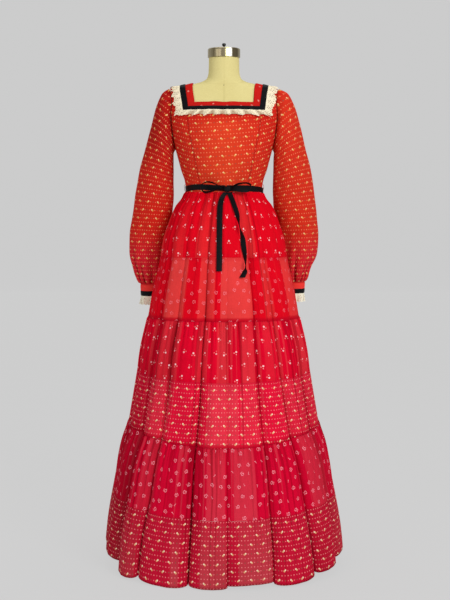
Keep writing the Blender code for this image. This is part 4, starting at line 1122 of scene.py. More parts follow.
def skirtSurface(s, topAngle, hemAngle, depth, place, heights, below, puffed, gathers):
    # the elliptical section, less the fold, crease and gather at each place; a fold is its depth times
    # 1 - sin(pi t)^0.7, narrower at the hem; below is the length under the tier's gathered seam
    share = np.clip((waist - heights) / waist, 0, 1)
    angle = topAngle[:, None] + (hemAngle - topAngle)[:, None] * share
    wander = clothNoise(s[:, None] * 2, heights / 0.13, 65, foldCount * 2)
    angle = angle + skirt["swing"] * wander * ease(0.0, 0.2, share)
    fold = depth[:, None] * (1 - np.sin(math.pi * place[:, None]) ** (0.7 - 0.46 * share**2))
    fold = fold * readTable(skirtSections, "foldShare", heights)
    run = s[:, None]
    long = softNoise(run * 2, 61, foldCount * 2) * 0.6 + softNoise(run * 4, 62, foldCount * 4) * 0.4
    crease = skirt["creaseDepth"] * long * ease(0.0, 0.35, share + 0.12)
    shrink = fold + crease
    loops = 2 * math.pi * gathers
    sway = softNoise(run * 3, 63, foldCount * 3) * 1.8
    uneven = 0.75 + 0.35 * softNoise(run * 5, 64, foldCount * 5)
    onset = np.clip(below / 0.006, 0.35, 1)
    tight = np.cos(run * loops + sway) * np.exp(-below / 0.028)
    mid = np.cos(run * loops / 2 + sway * 0.7) * np.exp(-below / 0.080)
    loose = np.cos(run * loops / 4 + sway * 0.5) * np.exp(-below / 0.200)
    ripple = (tight + 1.2 * mid + 1.5 * loose) * uneven * onset * skirt["gatherDepth"]
    lift = skirt["puff"] * np.sin(math.pi * np.clip(below / 0.16, 0, 1)) * puffed
    shrink = shrink + ripple - lift
    swell = skirt["square"] * np.sin(2 * angle) ** 2 + skirt["forward"] * np.clip(np.cos(angle), 0, 1) ** 2
    swell = 1 + swell * ease(0.5, 1.0, share)
    x = (readTable(skirtSections, "halfWidth", heights) - shrink) * np.sin(angle) * swell
    y = -(readTable(skirtSections, "halfDepth", heights) - shrink) * np.cos(angle) * swell
    return np.stack([x, y, heights], -1)


def sheerAt(number, angle, down):
    # masks with sharp upright sides, at one strip's own middle angles; behind, seeded bands
    total = np.zeros(np.broadcast_shapes(angle.shape, down.shape))
    degrees = np.degrees(np.arctan2(np.sin(angle), np.cos(angle)))
    for strip, low, high, atTop, atBottom in sheerZones:
        if strip == number:
            side = ease(low - 0.35, low + 0.35, degrees) * (1 - ease(high - 0.35, high + 0.35, degrees))
            total = np.maximum(total, side * (atTop + (atBottom - atTop) * down))
    behind = ease(84, 88, np.abs(degrees))
    bands = ease(0.05, 0.25, softNoise(degrees / 11 + number * 3, 71)) * 0.55
    return total * (1 - behind) + behind * bands


def deepAt(s, heights, inTier, gathers):
    # masks of painted shade with darker doubled cloth, and of single lighter cloth: painted shade as soft lines
    # down the valleys, beside them and over whole folds, random broad darker patches, and sharp strips beside
    # the gathers, which narrow downwards from the seam
    t = (s - np.floor(s))[:, None]
    near = np.minimum(t, 1 - t)
    index = np.where(t < 0.5, np.floor(s)[:, None], np.ceil(s)[:, None]).astype(int) % foldCount
    share = np.clip((waist - heights) / waist, 0, 1)
    patchy = 0.75 + 0.35 * softNoise(heights / 0.07 + index * 7.0, 69)
    # painted shade down each valley, by the table's shadow and start
    power = skirtFolds["shadow"][index] * ease(0, 0.18, share - skirtFolds["start"][index]) * patchy
    girth = readTable(skirtSections, "halfWidth", heights) * 2 * math.pi / foldCount
    away = near * girth
    line = np.exp(-((away / (0.0016 + 0.0022 * share)) ** 2))
    wide = 0.45 * np.exp(-away / (0.006 + 0.014 * share)) * np.where(t < 0.5, 1.0, 0.3)
    # painted shade over whole folds, by the table's tone
    tone = skirtFolds["tone"][np.floor(s).astype(int) % foldCount][:, None] * ease(0.35, 0.6, share)
    clouds = 0.30 * np.clip(clothNoise(s[:, None], heights / 0.22, 72, foldCount), 0, 1) * ease(0.1, 0.3, share)
    phase = s[:, None] * gathers / 2 + softNoise(s[:, None] * 3, 63, foldCount * 3) * 0.3
    number = np.floor(phase)
    middle = phase - number - 0.5 + 0.2 * softNoise(number, 70)
    reach = 0.06 + 0.09 * (softNoise(number, 67) + 1)
    spread = (0.22 + 0.14 * (softNoise(number, 66) + 1)) * np.exp(-inTier / reach)
    strip = ease(-0.03, 0.03, spread - np.abs(middle))
    kind = softNoise(number, 68)
    dark = strip * ease(-0.1, -0.5, kind) * skirt["overlap"]
    light = strip * ease(0.1, 0.5, kind) * skirt["single"] * ease(0.1, 0.3, share)
    return np.clip(np.maximum(power * np.maximum(line, wide), dark) + tone + clouds, 0, 1), light


def makeSkirt():
    upperFront, upperRise = waist, 0.0
    tierTop = None
    for number, (name, front, rise, gathered, perFold, rows, cloth) in enumerate(skirtStrips, 1):
        s, topAngle, hemAngle, depth, inFold = foldColumns(perFold)
        upper = seamHeights(upperFront, upperRise, hemAngle) - seamGap / 2
        lower = seamHeights(front, rise, hemAngle) + seamGap / 2
        share = np.linspace(1, 0, rows + 1) ** (1.5 if gathered else 1.0)
        heights = upper[:, None] + (lower - upper)[:, None] * share[None]
        below = upper[:, None] - heights
        tierTop = upper[:, None] if gathered else tierTop
        inTier = tierTop - heights
        gathers = gatherCounts[number - 1]
        points = skirtSurface(s, topAngle, hemAngle, depth, inFold, heights, inTier, number > 2, gathers)
        deep, light = deepAt(s, heights, inTier, gathers)
        if number == 6:
            swing = np.array(hemLifts)[np.floor(s).astype(int) % foldCount]
            crest = np.sin(inFold * math.pi) ** 0.25 * swing
            points[..., 2] += crest[:, None] * np.clip(below / 0.17, 0, 1) ** 2
            # narrow hem: the cloth turns in under itself and up again
            inner = points[:, :1].copy()
            inward = unit(inner * np.array([1, 1, 0])) * 0.0012
            inner = inner - inward
            turned = []
            for up in (skirt["hemTurn"], 0.0005):
                ring = inner.copy()
                ring[..., 2] += up
                turned.append(ring)
            points = np.concatenate(turned + [points], 1)
            below = np.concatenate([below[:, :1] - skirt["hemTurn"], below[:, :1], below], 1)
            deep, light = (np.concatenate([part[:, :1], part[:, :1], part], 1) for part in (deep, light))
        middle = topAngle + (hemAngle - topAngle) * np.clip((waist - (front + upperFront) / 2) / waist, 0, 1)
        total = (upper - lower)[:, None]
        down = np.clip(below / total, 0, 1)
        sheerAndLit = np.maximum(sheerAt(number, middle[:, None], down), light)
        width = skirt["seamBand"]
        fromTop, fromBottom = below, total - below
        band = skirt["flatSeam"] * (1 - ease(width * 0.85, width, fromTop)) * (not gathered)
        band = band + lowerSeams[number - 1] * (1 - ease(width * 0.85, width, fromBottom))
        edges = (0.5 if number < 6 else 0.15) * (1 - ease(0.001, 0.004, fromTop if gathered else fromBottom))
        band = np.minimum(band + edges * (number > 1 if gathered else 1.0), 1)
        lengths = lengthsAlong(points, 0)
        cutAlong = lengths[:, 0 if number < 6 else 2]
        uv = stacked(cutAlong[:, None], -below + number * 0.011)
        closed = number > 1
        solidPoints = points[:-1] if closed else points
        values = {"sheerAndLit": sheerAndLit, "band": band, "deep": deep}
        values = {key: numbers[:-1] if closed else numbers for key, numbers in values.items()}
        piece = gridPiece(name, solidPoints, uv, cloth, closed=closed, values=values)
        over = "waist_belt" if number == 1 else skirtStrips[number - 2][0]
        declareCloth(piece, name, solidPoints, closed=closed)
        upperFront, upperRise = front, rise


makeSkirt()
print("stage: skirt made")


# sleeves: bishop sleeves, gathered lightly into the armhole and closely at the wrist

sleeve = {
    "around": 200,
    "rows": 170,
    "capGather": 0.0030,
    "wristGather": 0.0046,
    "taper": 0.0080,  # how far the outer side draws in above the wrist
    "drag": 0.0022,
    "alongShare": 0.45,  # the print's rows lie between square to the arm and level
}


def sleeveRings(word, around):
    # armhole ring on the body, then the table's ellipses: middle + across cos + depth sin
    table = columnTable(sleeveNames, *sleeveSections[word])
    turn = math.pi + np.arange(around) * 2 * math.pi / around
    lift, forward = np.cos(turn), np.sin(turn)
    height = armhole["centre"] + armhole["halfHeight"] * lift
    angle = np.where(forward >= 0, armholeAngle(height, False), armholeAngle(height, True))
    rings = [onBody(angle, height, clothLift + 0.0006)]
    for k in range(len(table["outerX"])):
        outer = np.array([table["outerX"][k], 0, table["outerZ"][k]])
        inner = np.array([table["innerX"][k], 0, table["innerZ"][k]])
        middle = (outer + inner) / 2 + np.array([0, table["middleY"][k], 0])
        across = (outer - inner) / 2 * lift[:, None]
        depth = np.array([0, -table["halfDepth"][k], 0]) * forward[:, None]
        rings.append(middle + across + depth)
    return turn, np.stack(rings, 0)


def makeSleeve(word, side, seed):
    around, rows = sleeve["around"], sleeve["rows"]
    turn, rings = sleeveRings(word, around)
    share = np.linspace(0, 1, rows)
    at = share * (len(rings) - 1)
    smooth = smoothCurve(at, np.arange(len(rings)).astype(float), rings)
    points = np.moveaxis(smooth, 0, 1)
    centre = points.mean(0, keepdims=True)
    out = unit(points - centre)
    down = lengthsAlong(points, 1)
    left = down[:, -1:] - down
    column = np.arange(around)[:, None] / around
    upper = np.clip(np.cos(turn), 0, 1)[:, None]
    sway = softNoise(column * 16, seed, 16) * 1.5
    cap = np.cos(column * 2 * math.pi * 34 + sway) * np.exp(-down / 0.016) * upper
    cap = cap + 0.8 * np.cos(column * 2 * math.pi * 17 + sway) * np.exp(-down / 0.040) * upper
    cap = cap * np.clip(down / 0.005, 0, 1)
    uneven = 0.8 + 0.4 * softNoise(column * 23, seed + 1, 23)
    wrist = 0.5 * np.cos(column * 2 * math.pi * 24 + sway) * np.exp(-left / 0.015)
    wrist = wrist + 1.2 * np.cos(column * 2 * math.pi * 11 + sway) * np.exp(-left / 0.085)
    wrist = wrist * np.clip(left / 0.006, 0, 1) * uneven
    drag = clothNoise(column * 7, down / 0.11 + column * 2, seed + 2, 7)
    drag = drag + 0.5 * clothNoise(column * 14, down / 0.05, seed + 3, 14)
    middleShare = ease(0, 0.08, down) * ease(0, 0.05, left)
    move = sleeve["capGather"] * cap + sleeve["wristGather"] * wrist + sleeve["drag"] * drag * middleShare
    hang = np.clip(np.abs(np.cos(turn))[:, None], 0.25, 1)
    outward = np.clip(np.cos(turn) * 1.5, -0.3, 1)[:, None]
    move = move - sleeve["taper"] * np.exp(-(((left - 0.050) / 0.036) ** 2)) * outward
    points = points + out * (move * np.where(down > 0.06, 1.0, hang))[..., None]
    points[..., 0] *= side
    loop = np.concatenate([points, points[:1]])
    girth = np.maximum.accumulate(lengthsAlong(loop, 0)[-1])
    columnShare = np.arange(around + 1)[:, None] / around
    u = (columnShare - 0.75) * girth[None] * -side
    alongShare = sleeve["alongShare"]
    v = -alongShare * lengthsAlong(loop, 1)[around // 4][None] + (1 - alongShare) * loop[..., 2]
    uv = stacked(u, v)
    band = 0.6 * np.exp(-((down / 0.003) ** 2)) + 0.5 * np.exp(-((left / 0.003) ** 2))
    # painted shade in the hollows of the wrist's and the cap's gathers
    deep = np.clip(2.2 * np.clip(-wrist - 0.25, 0, 1) + 0.8 * np.clip(-cap - 0.25, 0, 1), 0, 0.9)
    # lighter higher up the arm, and the right sleeve painted lighter as lit from the right
    sheerAndLit = 0.15 * np.clip(points[..., 2] - 1.0, 0, 1) + (0.35 if side > 0 else 0.0)
    values = {"sheerAndLit": sheerAndLit, "band": band, "deep": deep}
    # painted shade over the left sleeve's upper part, on the unlit side
    if side < 0:
        values["deep"] = np.clip(deep + 0.50 * ease(1.10, 1.32, points[..., 2]), 0, 1)
    # painted light: lighter rose towards the wrist
    values["litRose"] = 0.75 * ease(1.02, 0.88, points[..., 2])
    piece = gridPiece(f"sleeve_{word}", points, uv, bodiceVoile, closed=True, inward=side < 0, values=values)
    declareCloth(
        piece, f"sleeve_{word}", points, closed=True
    )


for side, word in bothSides:
    makeSleeve(word, side, 80 + 10 * side)
print("stage: sleeves made")


# cuffs: band, ribbon and eyelet frill as rings

cuffRows = {  # middle and radius at the band's top and bottom, and at the frill's edge
    "left": (
        (0.2305, 0.1170, 0.8266, 0.0288),
        (0.2290, 0.1200, 0.7900, 0.0284),
        (0.2315, 0.1230, 0.7620, 0.0310),
    ),
    "right": (
        (0.2220, 0.1170, 0.8326, 0.0288),
        (0.2200, 0.1200, 0.7985, 0.0284),
        (0.2205, 0.1230, 0.7710, 0.0305),
    ),
}
cuff = {"ribbonShare": 0.42, "frillWaves": 7, "frillDepth": 0.0022, "around": 180}


def ringPoints(side, rows, radii, around):
    # one ring for each row of x, y, z; radii by column and row
    turn = np.arange(around)[:, None] * 2 * math.pi / around
    x = side * (rows[:, 0][None] + radii * np.cos(turn))
    y = rows[:, 1][None] + radii * np.sin(turn)
    return np.stack([x, y, np.broadcast_to(rows[:, 2], x.shape)], -1)


def makeCuff(word, side, seed):
    around = cuff["around"]
    top, bottom, hem = (np.array(row) for row in cuffRows[word])
    column = np.arange(around)[:, None] / around
    loopColumn = np.arange(around + 1)[:, None] / around

    def strip(name, low, high, count, lift, material, slotName, onto, rough):
        share = np.linspace(0, 1, count)
        rows = low[None] + (high - low)[None] * share[:, None]
        edge = np.minimum(ease(0, 0.12, share), ease(0, 0.12, 1 - share))
        radii = rows[:, 3][None] + lift + 0.0006 * edge[None]
        radii = radii + rough * clothNoise(column * 15, share[None] * 3, seed, 15)
        points = ringPoints(side, rows, radii, around)
        long = 2 * math.pi * float(rows[:, 3].mean())
        uv = stacked(loopColumn * long, (share * float(high[2] - low[2]))[None])
        band = np.maximum(1 - edge, 0)[None] * 0.5
        values = {"band": np.broadcast_to(band, radii.shape), "sheerAndLit": 0.9}
        piece = gridPiece(name, points, uv, material, closed=True, inward=side < 0, values=values)
        declareCloth(piece, name, points, closed=True)

    strip(f"cuff_band_{word}", bottom, top, 15, 0.0, bandVoile, "bodice_cloth", f"sleeve_{word}", 0.0004)
    middle = bottom + (top - bottom) * cuff["ribbonShare"]
    strip(f"cuff_ribbon_{word}", bottom, middle, 9, 0.0009, satinRibbon, "ribbon", f"cuff_band_{word}", 0.0002)
    share = np.linspace(0, 1, 19)
    start = bottom + np.array([0, 0, 0.002, -0.0001])
    rows = hem[None] + (start - hem)[None] * share[:, None]
    wave = np.cos(column * 2 * math.pi * cuff["frillWaves"] + softNoise(column * 12, seed + 5, 12) * 1.4)
    radii = rows[:, 3][None] + cuff["frillDepth"] * wave * (1 - share[None]) ** 0.8
    points = ringPoints(side, rows, radii, around)
    long = float(lengthsAlong(np.concatenate([points, points[:1]]), 0)[-1, 4])
    long = round(long / 0.021) * 0.021
    uv = stacked(loopColumn * long, ((1 - share) * 0.026)[None])
    name = f"cuff_lace_{word}"
    # painted shade in the frill's inward waves
    fold = 0.45 * np.clip(-wave, 0, 1) * (1 - share[None])
    piece = gridPiece(name, points, uv, cuffEyelet, closed=True, inward=side < 0, values={"fold": fold})
    declareCloth(piece, name, points, closed=True)


for side, word in bothSides:
    makeCuff(word, side, 90 + side)
print("stage: cuffs made")


# sash: belt, thread carriers and bow

sash = {
    "width": 0.017,
    "front": 1.1235,
    "sideDrop": 0.0005,
    # how far the belt hangs down round the waist, by angle from the front
    "drops": (
        (-180, 0.002),
        (-90, 0.0045),
        (-65, 0.0005),
        (-40, -0.0045),
        (-8, 0.0),
        (35, 0.0),
        (60, 0.004),
        (90, 0.0095),
        (180, 0.002),
    ),
    "lift": 0.0030,
    "knotX": 0.010,
    "knotZ": 1.1205,
    "knotSize": (0.017, 0.010, 0.018),
    "tailWidth": 0.0165,
    "tailClearance": 0.0045,
}
loopRows = {
    "right": (
        (0.0192, 1.1235, 0.000, 30, 0.0080),
        (0.0350, 1.1330, 0.004, 30, 0.0120),
        (0.0550, 1.1380, 0.008, 20, 0.0140),
        (0.0700, 1.1370, 0.010, 20, 0.0150),
        (0.0795, 1.1290, 0.011, 35, 0.0155),
        (0.0700, 1.1205, 0.012, 80, 0.0170),
        (0.0550, 1.1200, 0.012, 88, 0.0175),
        (0.0360, 1.1205, 0.008, 80, 0.0140),
        (0.0192, 1.1180, 0.000, 45, 0.0080),
    ),
    "left": (
        (0.0008, 1.1235, 0.000, 20, 0.0080),
        (-0.0120, 1.1290, 0.003, 12, 0.0100),
        (-0.0340, 1.1390, 0.008, 22, 0.0120),
        (-0.0500, 1.1410, 0.010, 18, 0.0140),
        (-0.0640, 1.1350, 0.010, 8, 0.0150),
        (-0.0675, 1.1240, 0.010, 10, 0.0150),
        (-0.0580, 1.1120, 0.010, 28, 0.0150),
        (-0.0420, 1.1130, 0.009, 28, 0.0140),
        (-0.0200, 1.1180, 0.006, 18, 0.0110),
        (0.0008, 1.1180, 0.000, 20, 0.0080),
    ),
}
tailRows = {
    "left": (
        (0.0045, 1.1110, 30, 0.000),
        (-0.0075, 1.0900, 20, 0.000),
        (-0.0120, 1.0600, 0, 0.000),
        (-0.0128, 1.0000, 0, 0.000),
        (-0.0132, 0.9400, 0, 0.000),
        (-0.0138, 0.8870, 0, 0.000),
    ),
    "right": (
        (0.0150, 1.1110, -20, 0.0045),
        (0.0260, 1.0845, -25, 0.002),
        (0.0377, 1.0495, -35, 0.000),
        (0.0445, 1.0150, -80, 0.000),
        (0.0535, 0.9830, -40, 0.000),
        (0.0560, 0.9600, -20, 0.000),
        (0.0600, 0.9300, -50, 0.000),
        (0.0618, 0.9000, -80, 0.000),
        (0.0600, 0.8850, -35, 0.000),
        (0.0520, 0.8690, -10, 0.000),
    ),
}


def throughPoints(points, count):
    # a Catmull-Rom line through the points, evenly in their order
    points = np.asarray(points, float)
    padded = np.concatenate([2 * points[:1] - points[1:2], points, 2 * points[-1:] - points[-2:-1]])
    at = np.linspace(0, len(points) - 1, count)
    i = np.clip(at.astype(int), 0, len(points) - 2)
    t = (at - i)[:, None]
    a, b, c, d = padded[i], padded[i + 1], padded[i + 2], padded[i + 3]
    return 0.5 * (2 * b + (c - a) * t + (2 * a - 5 * b + 4 * c - d) * t * t + (3 * b - a - 3 * c + d) * t**3)


def ribbonPiece(name, middle, across, width, cup):
    # a ribbon carried along a line: across is its width's direction, cup bends it a little about its length
    across = unit(across)
    along = unit(np.gradient(middle, axis=0))
    facing = unit(np.cross(along, across))
    shares = np.linspace(-0.5, 0.5, 9)
    reach = across[:, None] * (np.reshape(width, (-1, 1)) * shares[None])[..., None]
    bend = facing[:, None] * (cup * (0.25 - shares[None] ** 2) * 4)[..., None]
    points = middle[:, None] + reach + bend
    length = lengthsAlong(points, 0)[:, 4]
    uv = stacked(length[:, None], (shares * 0.0165)[None])
    piece = gridPiece(name, points, uv, satinRibbon)
    declareCloth(piece, name, points)
    return points


def makeBelt():
    angle = np.linspace(math.radians(4), 2 * math.pi + math.radians(2.2), 361)
    wrapped = np.where(angle > math.pi, angle - 2 * math.pi, angle)
    shares = np.linspace(-0.5, 0.5, 11)
    knots, drops = np.array(sash["drops"]).T
    drop = np.interp(np.degrees(wrapped), knots, drops)
    middle = sash["front"] - np.convolve(np.pad(drop, 12, mode="edge"), np.full(25, 0.04), mode="valid")
    height = middle[:, None] + sash["width"] * shares[None]
    crown = np.cos(shares * math.pi) ** 0.5
    crease = clothNoise(np.degrees(wrapped)[:, None] / 16, shares[None] * 2.5 + 9, 95)
    sunk = np.maximum(sash["front"] - 0.0045 - middle[:, None], 0)
    lift = sash["lift"] + 0.0005 * crown[None] + 0.0005 * crease + 0.6 * sunk
    points = onBody(np.broadcast_to(wrapped[:, None], height.shape), height, lift)
    length = lengthsAlong(points, 0)[:, 5]
    uv = stacked(length[:, None], (shares * 0.017)[None])
    piece = gridPiece("waist_belt", points, uv, satinRibbon)
    declareCloth(piece, "waist_belt", points)


def makeCarrier(word, side):
    # a thread chain over the belt at the side seam: a thin tube on a half loop, beaded by a ripple in its
    # radius
    turn = np.linspace(0, math.pi, 41)
    half = sash["width"] / 2 + 0.0018
    middle = sash["front"] - sash["sideDrop"]
    height = middle - half * np.cos(turn)
    lift = 0.0019 + 0.0040 * np.sin(turn) ** 0.6
    path = onBody(np.full(turn.shape, side * math.pi / 2), height, lift)
    along = unit(np.gradient(path, axis=0))
    first = np.broadcast_to(np.array([0.0, 1.0, 0.0]), along.shape)
    second = np.cross(along, first)
    around = np.arange(10) * 2 * math.pi / 10
    radius = 0.0006 * (1 + 0.22 * np.sin(np.arange(41) * 1.6))
    tube = (
        path[None]
        + first[None] * (np.cos(around)[:, None] * radius[None])[..., None]
        + second[None] * (np.sin(around)[:, None] * radius[None])[..., None]
    )
    uv = np.stack(np.meshgrid(np.linspace(0, 0.004, 11), np.linspace(0, 0.03, 41), indexing="ij"), -1)
    name = f"belt_carrier_{word}"
    piece = gridPiece(name, tube, uv, bandVoile, closed=True)
    standFor(piece, name)


def makeBow():
    front = bodyRing(np.array(0.0), np.array(sash["knotZ"] + sash["width"] / 2))[1] - 0.0033
    knotBack = front - 0.00015
    for word, rows in loopRows.items():
        x, z, forward, turn, width = throughPoints(np.array(rows), 120).T
        y = knotBack - sash["knotSize"][1] / 2 - forward
        turn = np.radians(turn)
        across = np.stack([np.zeros(len(turn)), -np.cos(turn), np.sin(turn)], -1)
        ribbonPiece(f"bow_loop_{word}", np.stack([x, y, z], -1), across, width, 0.0008)
    for word, rows in tailRows.items():
        x, z, turn, forward = throughPoints(np.array(rows), 160).T
        halfWidth = readTable(skirtSections, "halfWidth", z)
        halfDepth = readTable(skirtSections, "halfDepth", z)
        y = -halfDepth * np.sqrt(1 - (x / halfWidth) ** 2) - sash["tailClearance"]
        turn = np.radians(turn)
        y = y - sash["tailWidth"] / 2 * np.abs(np.sin(turn))
        y = np.minimum(y, knotBack - 0.004) - forward
        across = np.stack([np.cos(turn), np.sin(turn), np.zeros(len(turn))], -1)
        width = np.full(len(turn), sash["tailWidth"])
        middle = np.stack([x, y, z], -1)
        ribbonPiece(f"bow_tail_{word}", middle, across, width, 0.0006)
    makeKnot(knotBack)


def makeKnot(back):
    # the knot: ribbon wrapped once round the loops, a rounded tube along X, pinched into pleats
    width, depth, tall = sash["knotSize"]
    turn = np.arange(72) * 2 * math.pi / 72
    share = np.linspace(-1, 1, 25)
    swell = (1 - 0.22 * np.abs(share) ** 2.2)[None]
    pleat = 1 + 0.035 * np.cos(share * 9 + 0.6)[None] * np.clip(np.sin(turn), 0, 1)[:, None]
    c, s = np.cos(turn)[:, None], np.sin(turn)[:, None]
    square = np.maximum(np.abs(c), np.abs(s)) ** -0.35
    y = back - depth / 2 - (depth / 2 - 0.0004) * s * swell * pleat * square
    z = sash["knotZ"] + tall / 2 * c * swell * square * 0.97 + 0.0006 * share[None]
    x = np.broadcast_to(sash["knotX"] + width / 2 * share[None], y.shape)
    points = np.stack([x, y, z], -1)
    long = float(lengthsAlong(np.concatenate([points, points[:1]]), 0)[-1, 12])
    uv = np.stack(np.meshgrid(np.linspace(0, long, 73), share * width / 2, indexing="ij"), -1)
    piece = gridPiece("bow_knot", points, uv, satinRibbon, closed=True, inward=True)
    declareCloth(piece, "bow_knot", points, closed=True)


makeBelt()
for side, word in bothSides:
    makeCarrier(word, side)
makeBow()
print("stage: sash made")


# zip: slider and pull tab at the top of the centre back

zipParts = {
    "top": 1.392,
    "slider": (0.0064, 0.0030, 0.0090),
    "lugX": 0.0024,
    "lugSize": (0.0008, 0.0021, 0.0018),
    "barrel": 0.0009,
    "barrelHalf": 0.0017,
    "neck": 0.003,
    "length": 0.022,
    "halfWidth": 0.0028,
    "thickness": 0.0010,
}


def backLean(height):
    # how far the back leans outwards for each metre down
    step = 0.012
    above, below = (bodyRing(np.array(math.pi), np.array(height + d))[1] for d in (0.0, -step))
    return float(below - above) / step


def pebble(name, middle, size, lean, squareness=-0.7):
    # a block with rounded edges: superellipses stacked along Y, leaning with the back
    turn = np.arange(48) * 2 * math.pi / 48
    share = np.array([0.0, 0.0, 0.08, 0.25, 0.7, 0.93, 1.0, 1.0])
    grow = np.array([0.0, 0.90, 0.98, 1.0, 0.98, 0.90, 0.72, 0.0])
    c, s = np.cos(turn)[:, None], np.sin(turn)[:, None]
    square = np.maximum(np.abs(c), np.abs(s)) ** squareness
    x = middle[0] + size[0] / 2 * c * square * grow[None]
    z = size[2] / 2 * s * square * grow[None]
    y = middle[1] + size[1] * share[None] - lean * z
    points = np.stack([x, np.broadcast_to(y, x.shape), middle[2] + z], -1)
    piece = gridPiece(name, points, np.zeros((49, 8, 2)), zipEnamel, closed=True)
    standFor(piece, "zip_slider")


def makeZip():
    surface = onBody(np.array(math.pi), np.array(zipParts["top"]), clothLift + 0.0010)
    y0, lean, top = float(surface[1]), backLean(zipParts["top"]), zipParts["top"]
    depth = zipParts["slider"][1]
    pebble("zip_slider_body", (0.0, y0, top), zipParts["slider"], lean)
    for side, word in bothSides:
        middle = (side * zipParts["lugX"], y0 + depth, top)
        pebble(f"zip_lug_{word}", middle, zipParts["lugSize"], lean, -0.5)
    # the pull: its outline in the plane across the hinge, a barrel and a flat tab, repeated across X
    pin = np.array([0.0, y0 + depth + zipParts["barrel"] + seamGap, top])
    down, out = unit(np.array([0.0, lean, -1.0])), unit(np.array([0.0, 1.0, lean]))
    half, barrel = zipParts["thickness"] / 2, zipParts["barrel"]
    gape = math.asin(half / barrel)
    turn = np.linspace(gape, 2 * math.pi - gape, 25)
    shares = np.sin(np.linspace(-math.pi / 2, math.pi / 2, 25))
    tip = zipParts["length"] - zipParts["halfWidth"] * (1 - np.sqrt(1 - shares**2))
    neckAt = zipParts["neck"]
    sections = []
    for share, end in zip(shares, tip):
        low = np.array([neckAt, neckAt + 0.004, end - 0.0009, end - 0.0003, end])
        side = half * np.array([1.0, 1.0, 1.0, 0.7, 0.25])
        along = np.concatenate([barrel * np.cos(turn), low, low[::-1]])
        away = np.concatenate([barrel * np.sin(turn), -side, side[::-1]])
        widths = [zipParts["barrelHalf"], zipParts["halfWidth"]]
        wide = np.interp(along, [neckAt - 0.0002, neckAt + 0.004], widths)
        aside = np.array([1.0, 0, 0]) * (share * wide)[:, None]
        sections.append(pin + down * along[:, None] + out * away[:, None] + aside)
    tube = np.stack(sections, 1)
    ends = [tube[:, :1].mean(0, keepdims=True) + np.zeros_like(tube[:, :1]) for tube in (tube, tube[:, ::-1])]
    tube = np.concatenate([ends[0], tube, ends[1]], 1)
    uv = np.zeros((tube.shape[0] + 1, tube.shape[1], 2))
    piece = gridPiece("zip_pull_tab", tube, uv, zipEnamel, closed=True, inward=True)
    standFor(piece, "zip_pull", "zip_tab")


makeZip()
print("stage: zip made")


# form and stand

form = {
    "sides": 240,
    "bottom": 0.88,
    "clearance": 0.0013,
    "seamDepth": 0.0005,
    "capRadius": 0.048,
    "capTop": 1.5366,
    "knobTop": 1.5489,
    "poleRadius": 0.016,
    "linenTop": 1.5062,
    "capBase": 1.5065,
    "baseRadius": 0.19,
    "baseThickness": 0.012,
}


def makeForm():
    # the body's surface drawn in, with grooves at the centre front and back and at the neck's base
    spans = ((form["bottom"], 1.36, 50), (1.36, 1.46, 100), (1.46, form["linenTop"], 24))
    lowest, middle, highest = (np.linspace(*span) for span in spans)
    heights = np.concatenate([lowest[:-1], middle[:-1], highest])
    sides = form["sides"]
    turn = np.arange(sides) * 2 * math.pi / sides
    angle, height = np.meshgrid(turn, heights, indexing="ij")
    collar = 1.427 + 0.015 * np.sin(angle / 2) ** 2 + 0.010 * np.sin(angle) ** 2
    across = np.abs(np.sin(angle)) * 0.045
    middles = np.exp(-((across / 0.0006) ** 2))
    base = 0.6 * np.exp(-(((height - collar) / 0.0009) ** 2))
    seam = np.minimum(middles + base, 1)
    lift = -form["clearance"] - form["seamDepth"] * seam
    points = onBody(angle, height, lift)
    points[:, 0, 2], points[:, -1, 2] = form["bottom"], form["linenTop"]
    inner = points[:, :1].copy()
    rows = []
    for shrink in (0.0, 0.5, 0.96):
        ring = inner.copy()
        ring[..., :2] *= shrink
        rows.append(ring)
    points = np.concatenate(rows + [points], 1)
    seam = np.concatenate([np.zeros((sides, 3)), seam], 1)
    uv = np.zeros((sides + 1, points.shape[1], 2))
    piece = gridPiece("linen_form", points, uv, linen, closed=True, values={"seam": seam})
    standFor(piece, "form_torso")


def bend(start, end, count, centre, radius):
    # a quarter round on an outline, from one angle to another
    turn = np.radians(np.linspace(start, end, count))
    return [(centre[0] + radius * math.cos(a), centre[1] + radius * math.sin(a)) for a in turn]


def makeStand():
    r, top = form["capRadius"], form["capTop"]
    cap = [(r - 0.0008, form["capBase"])] + bend(-60, 0, 5, (r - 0.0008, 1.5075), 0.0008)
    cap += [(r, 1.512), (r, top - 0.0092)] + bend(0, 75, 9, (r - 0.0060, top - 0.0085), 0.0060)
    cap += [(r * 0.72, top - 0.0016), (r * 0.45, top - 0.0006), (0.006, top)]
    spunPiece("form_neck_cap_plate", cap, 128, brass, "form_neck_cap")
    base = top + seamGap
    knob = [(0.0046, base), (0.0046, base + 0.0008), (0.0030, base + 0.0014), (0.0030, base + 0.0040)]
    knob += bend(-60, 60, 11, (0.0012, base + 0.0078), 0.0048) + [(0.0022, form["knobTop"])]
    spunPiece("form_knob_turned", knob, 64, blackPlastic, "form_knob")
    p, low = form["poleRadius"], form["baseThickness"] + seamGap
    collar = [(p + 0.010, low)] + bend(0, 80, 6, (p + 0.008, low + 0.018), 0.002) + [(p + 0.0003, low + 0.0205)]
    pole = collar + [(p, low + 0.021), (p, form["bottom"] - seamGap)]
    spunPiece("stand_pole_turned", pole, 72, paintedSteel, "stand_pole")
    b, t = form["baseRadius"], form["baseThickness"]
    plate = [(b - 0.001, 0.0)] + bend(-60, 0, 4, (b - 0.001, 0.001), 0.001)
    plate += bend(0, 88, 8, (b - 0.004, t - 0.004), 0.004) + [(b * 0.5, t)]
    spunPiece("stand_base_plate", plate, 160, paintedSteel, "stand_base")


makeForm()
makeStand()
print("stage: form and stand made")


# stage, lights and camera

studio = {
    "glow": 0.567,  # the sweep's own light keeps it an even pale grey
    "world": 0.43,
    "key": 104.0,
    "fill": 32.0,
    "top": 22.0,
}


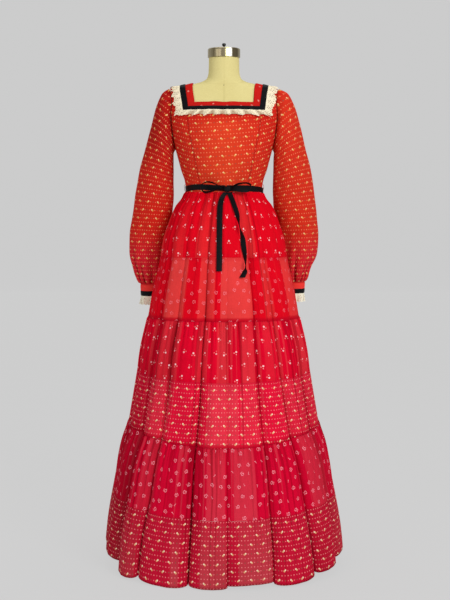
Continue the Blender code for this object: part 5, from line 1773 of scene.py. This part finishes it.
def makeStage():
    # floor rising to a wall in one sweep
    turn = np.linspace(0, math.pi / 2, 24)
    y = np.concatenate([[-14.0], 9.0 + 1.5 * np.sin(turn), [10.5]])
    z = np.concatenate([[0.0], 1.5 - 1.5 * np.cos(turn), [14.0]]) - 0.0005
    x = np.array([-14.0, 14.0])
    points = stacked(x[:, None], y[None], z[None]).astype(float)
    material, tree, shader = startMaterial("paperSweep", 0.95, specular=0.1)
    where = objectPlace(tree)
    tone = mixed(tree, noiseOf(tree, where, 3.0), (0.060, 0.060, 0.060), (0.063, 0.063, 0.063))
    tree.links.new(tone, shader.inputs["Base Color"])
    shader.inputs["Emission Color"].default_value = (1, 1, 1, 1)
    shader.inputs["Emission Strength"].default_value = studio["glow"]
    sweep = gridPiece("paper_sweep", points, np.zeros((2, len(y), 2)), material)


def areaLight(name, at, target, size, power):
    lamp = bpy.data.lights.new(name, "AREA")
    lamp.shape = "RECTANGLE"
    lamp.size, lamp.size_y = size
    lamp.energy = power
    holder = bpy.data.objects.new(name, lamp)
    holder.location = at
    away = np.array(at, float) - np.array(target, float)
    flat = math.hypot(away[0], away[1])
    holder.rotation_euler = (math.atan2(flat, away[2]), 0, math.atan2(away[0], -away[1]))
    bpy.context.collection.objects.link(holder)


def makeLights():
    world = bpy.data.worlds.new("softRoom")
    bpy.context.scene.world = world
    world.use_nodes = True
    world.node_tree.nodes["Background"].inputs["Color"].default_value = (1, 1, 1, 1)
    world.node_tree.nodes["Background"].inputs["Strength"].default_value = studio["world"]
    areaLight("keyLight", (2.1, -3.4, 2.5), (0, 0, 1.0), (1.6, 1.6), studio["key"])
    areaLight("fillLight", (-2.6, -3.2, 1.6), (0, 0, 0.9), (2.4, 2.4), studio["fill"])
    areaLight("topLight", (0.0, 0.6, 3.6), (0, 0, 1.0), (2.0, 2.0), studio["top"])


def makeCamera():
    camera = bpy.data.cameras.new("photoCamera")
    camera.lens = 74.4
    camera.sensor_width = 36.0
    camera.sensor_fit = "AUTO"
    holder = bpy.data.objects.new("photoCamera", camera)
    holder.location = (0.003, -3.72, 1.145)
    holder.rotation_euler = (math.radians(84.5), 0, 0)
    bpy.context.collection.objects.link(holder)
    bpy.context.scene.camera = holder


makeStage()
makeLights()
makeCamera()
bpy.context.scene.view_settings.view_transform = "Standard"

print("stage: scene ready")
